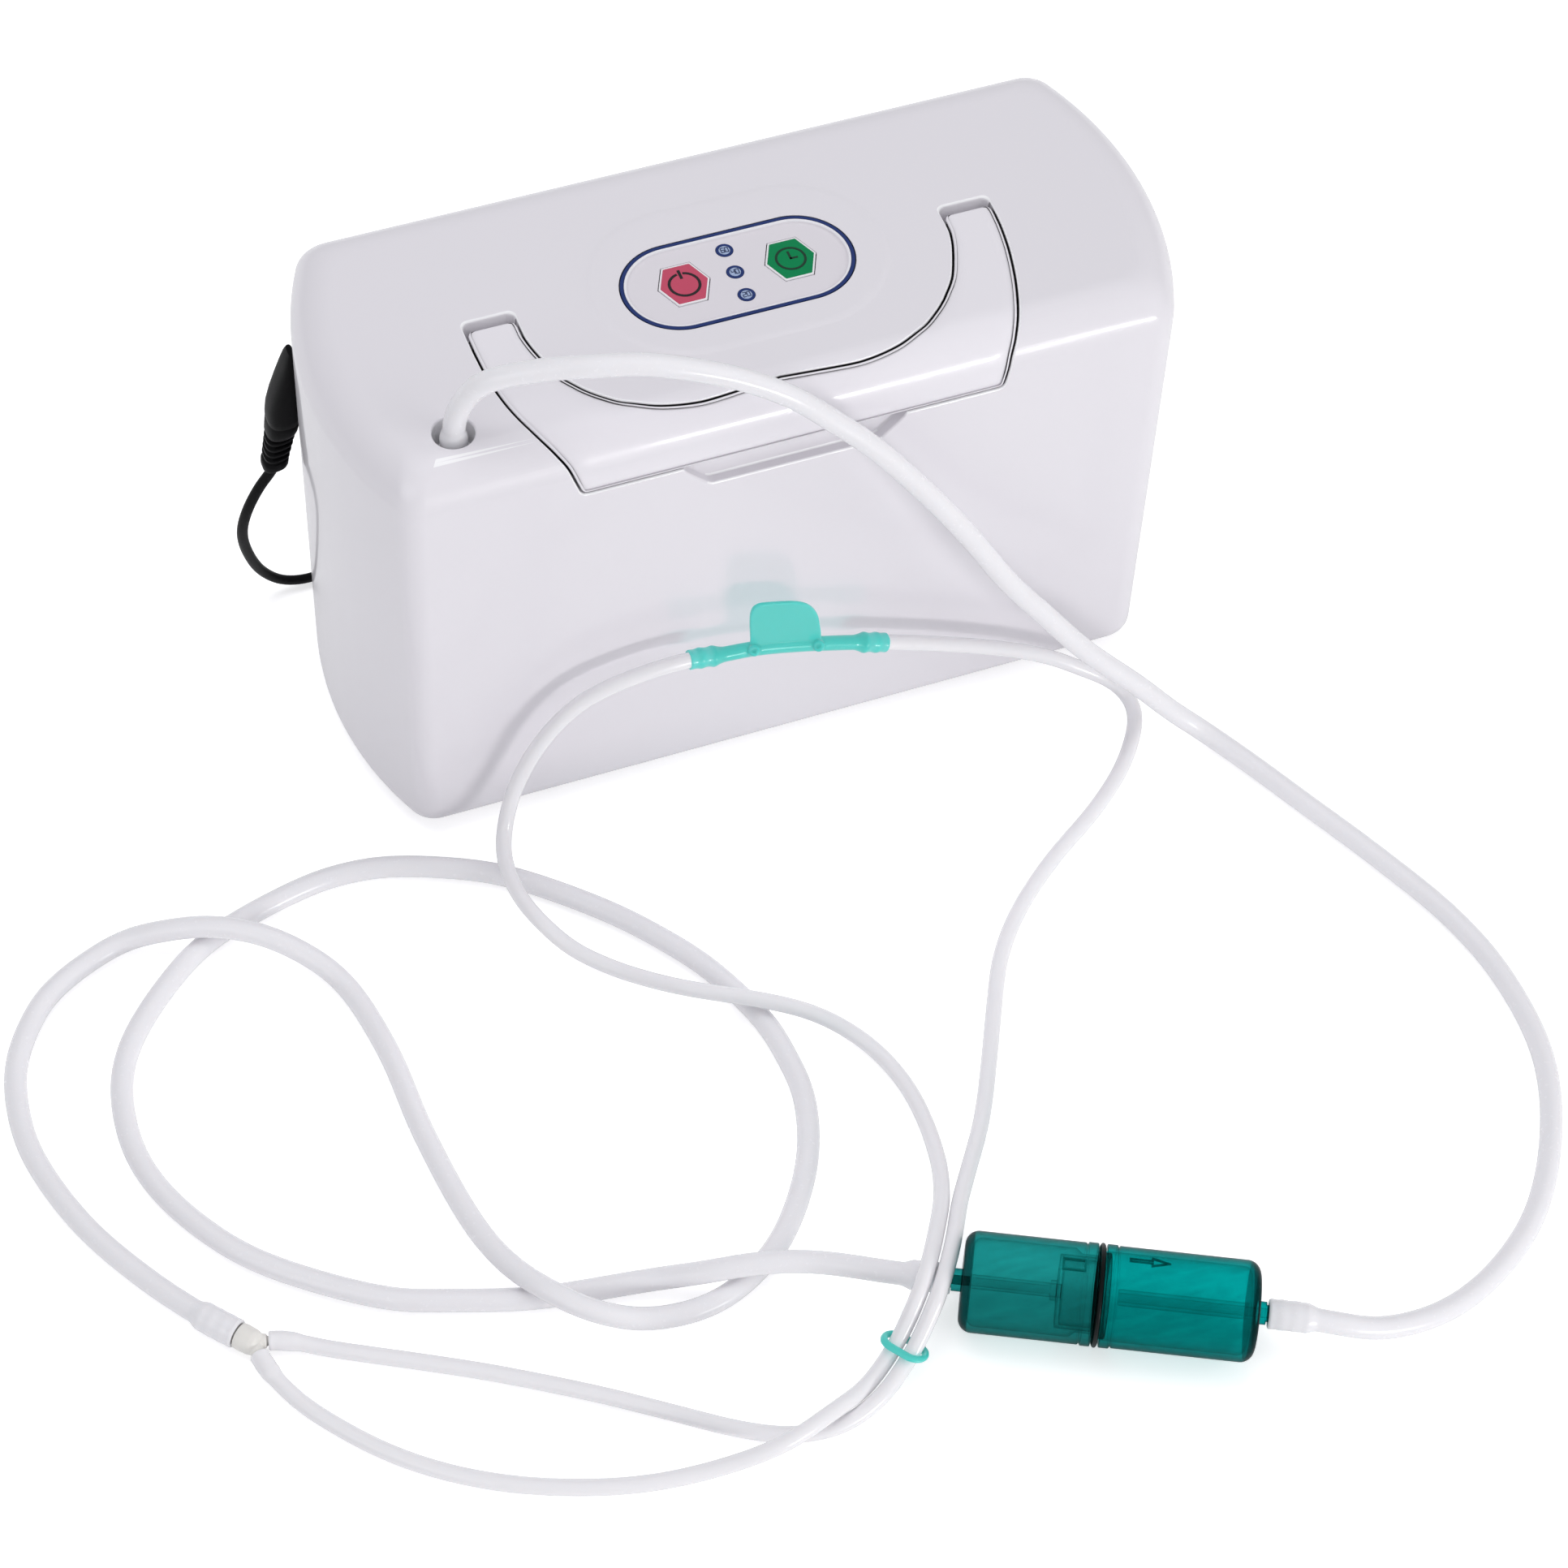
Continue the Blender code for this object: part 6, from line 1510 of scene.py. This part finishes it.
prong_prof = round_prof([(0, 0), (0, 1.7), (2.6, 1.5), (3.5, 1.4), (3.6, 0)], 0.45, 4, False)
prongs = [revolve("prong", prong_prof, foot, PRONG_AXIS, 32, hollow=False) for foot in PRONGS]
nasal = voxel(join("nasal_soft", [tube, tab] + prongs), 0.2)
long_path = np.concatenate([[path[0] - (path[1] - path[0]) * 3], path,
                            [path[-1] + (path[-1] - path[-2]) * 3]])
bore_r = np.where(np.concatenate([[0], from_end, [0]]) < 6.5, 2.06, 1.0)
cuts = [cyl("prong_bore", foot, PRONG_AXIS, 0.6, 3.0, 9, 20) for foot in PRONGS]
cuts.append(sweep("bore", long_path, bore_r, 24))
nasal = boolean(nasal, cuts, tris=False)
smooth(nasal.data, 50)
set_mat(nasal, MAT["aqua"])
place(nasal, "hose_set", "nasal_piece", slot="aqua")
nasal.visible_diffuse = False

# ------------------------------------- CAD pieces that only get a material
CARRIED = {
    "steel": "handle_pin_left handle_pin_right compressor_tray motor_housing motor_shaft "
             "valve_feed valve_vent",
    "foam": "inlet_filter_foam",
    "pcb": "button_pcb main_pcb",
    "fan": "switch_power switch_set fan_frame fan_impeller",
    "cast": "crankcase cylinder_barrel cylinder_head",
    "piston": "piston",
    "column": "sieve_column_front sieve_column_rear product_tank",
    "moulded": "valve_manifold",
    "tube": "product_tube",
    "black": "dc_jack",
    "pad": "rubber_mount_1 rubber_mount_2 rubber_mount_3 rubber_mount_4",
}
for mat, names in CARRIED.items():
    for name in names.split():
        set_mat(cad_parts[name], MAT[mat])

# ------------------------------------------------------- stage, in metres
stage = material("stage_white", (0.93, 0.93, 0.935), rough=0.9, vary=0.002, scale=3,
                 rough_vary=0.02, bump=0.02, spec=0.1)
tree = stage.node_tree
shader = tree.nodes["Principled BSDF"]
shader.inputs["Emission Color"].default_value = (1.0, 1.0, 1.0, 1.0)
# the floor glows more for the camera than it lights the product
glow = map_range(tree, node(tree, "ShaderNodeLightPath").outputs["Is Camera Ray"],
                 to_min=0.08, to_max=0.46)
tree.links.new(glow, shader.inputs["Emission Strength"])
FLOOR_HALF, FLOOR_Z = 6.0, -0.0004
mesh = bpy.data.meshes.new("stage_floor")
mesh.from_pydata([(x * FLOOR_HALF, y * FLOOR_HALF, FLOOR_Z)
                  for x, y in ((-1, -1), (1, -1), (1, 1), (-1, 1))], [], [(0, 1, 2, 3)])
floor = link_object("stage_floor", mesh)
mesh.materials.append(stage)

scene = bpy.context.scene
world = bpy.data.worlds.new("studio")
scene.world = world
world.use_nodes = True
background = world.node_tree.nodes["Background"]
background.inputs["Color"].default_value = (0.97, 0.975, 1.0, 1.0)
background.inputs["Strength"].default_value = 0.50


def area(name, loc, target, size, size_y, power, colour, glossy=True):
    """Rectangular light at loc aimed at target; glossy shows it in reflections."""
    light = bpy.data.lights.new(name, "AREA")
    light.energy = power
    light.color = colour
    light.shape = "RECTANGLE"
    light.size = size
    light.size_y = size_y
    ob = link_object(name, light)
    ob.location = loc
    ob.visible_glossy = glossy
    aim = Vector(target) - Vector(loc)
    ob.rotation_euler = aim.to_track_quat("-Z", "Y").to_euler()


area("strip_key", loc=(0.50, -1.40, 0.13), target=(0.0, -0.04, 0.10), size=0.42, size_y=0.17,
     power=5.2, colour=(1.0, 0.995, 0.985))
area("key_soft", loc=(1.15, -1.0, 0.95), target=(0.0, -0.05, 0.08), size=1.0, size_y=0.9,
     power=4.8, colour=(1.0, 0.995, 0.985), glossy=False)
area("fill_left", loc=(-1.1, -0.7, 0.8), target=(0.0, -0.05, 0.05), size=0.9, size_y=0.9,
     power=2.0, colour=(0.97, 0.98, 1.0))
area("top_soft", loc=(-0.1, 0.25, 1.5), target=(0.0, 0.0, 0.0), size=1.2, size_y=0.9,
     power=8.2, colour=(0.985, 0.99, 1.0), glossy=False)

# ------------------------------------------------------------------ camera
PITCH, YAW, ROLL = 0.915966, 0.399926, 0.0538452        # radians: down, to the right, tilt
camera = bpy.data.cameras.new("photo_view")
camera.sensor_width = 36.0
camera.lens = 96.68
camera.clip_start = 0.05
camera.clip_end = 30.0
view = link_object("photo_view", camera)
forward = Vector((math.sin(YAW) * math.cos(PITCH), math.cos(YAW) * math.cos(PITCH),
                  -math.sin(PITCH)))
right = Vector((math.cos(YAW), -math.sin(YAW), 0.0))
upward = right.cross(forward)
cos, sin = math.cos(ROLL), math.sin(ROLL)
pose = Matrix((cos * right + sin * upward, -sin * right + cos * upward, -forward))
pose = pose.transposed().to_4x4()
pose.translation = Vector((-0.257195, -0.654603, 0.844068))
view.matrix_world = pose
scene.camera = view
scene.view_settings.view_transform = "Standard"
scene.view_settings.look = "None"
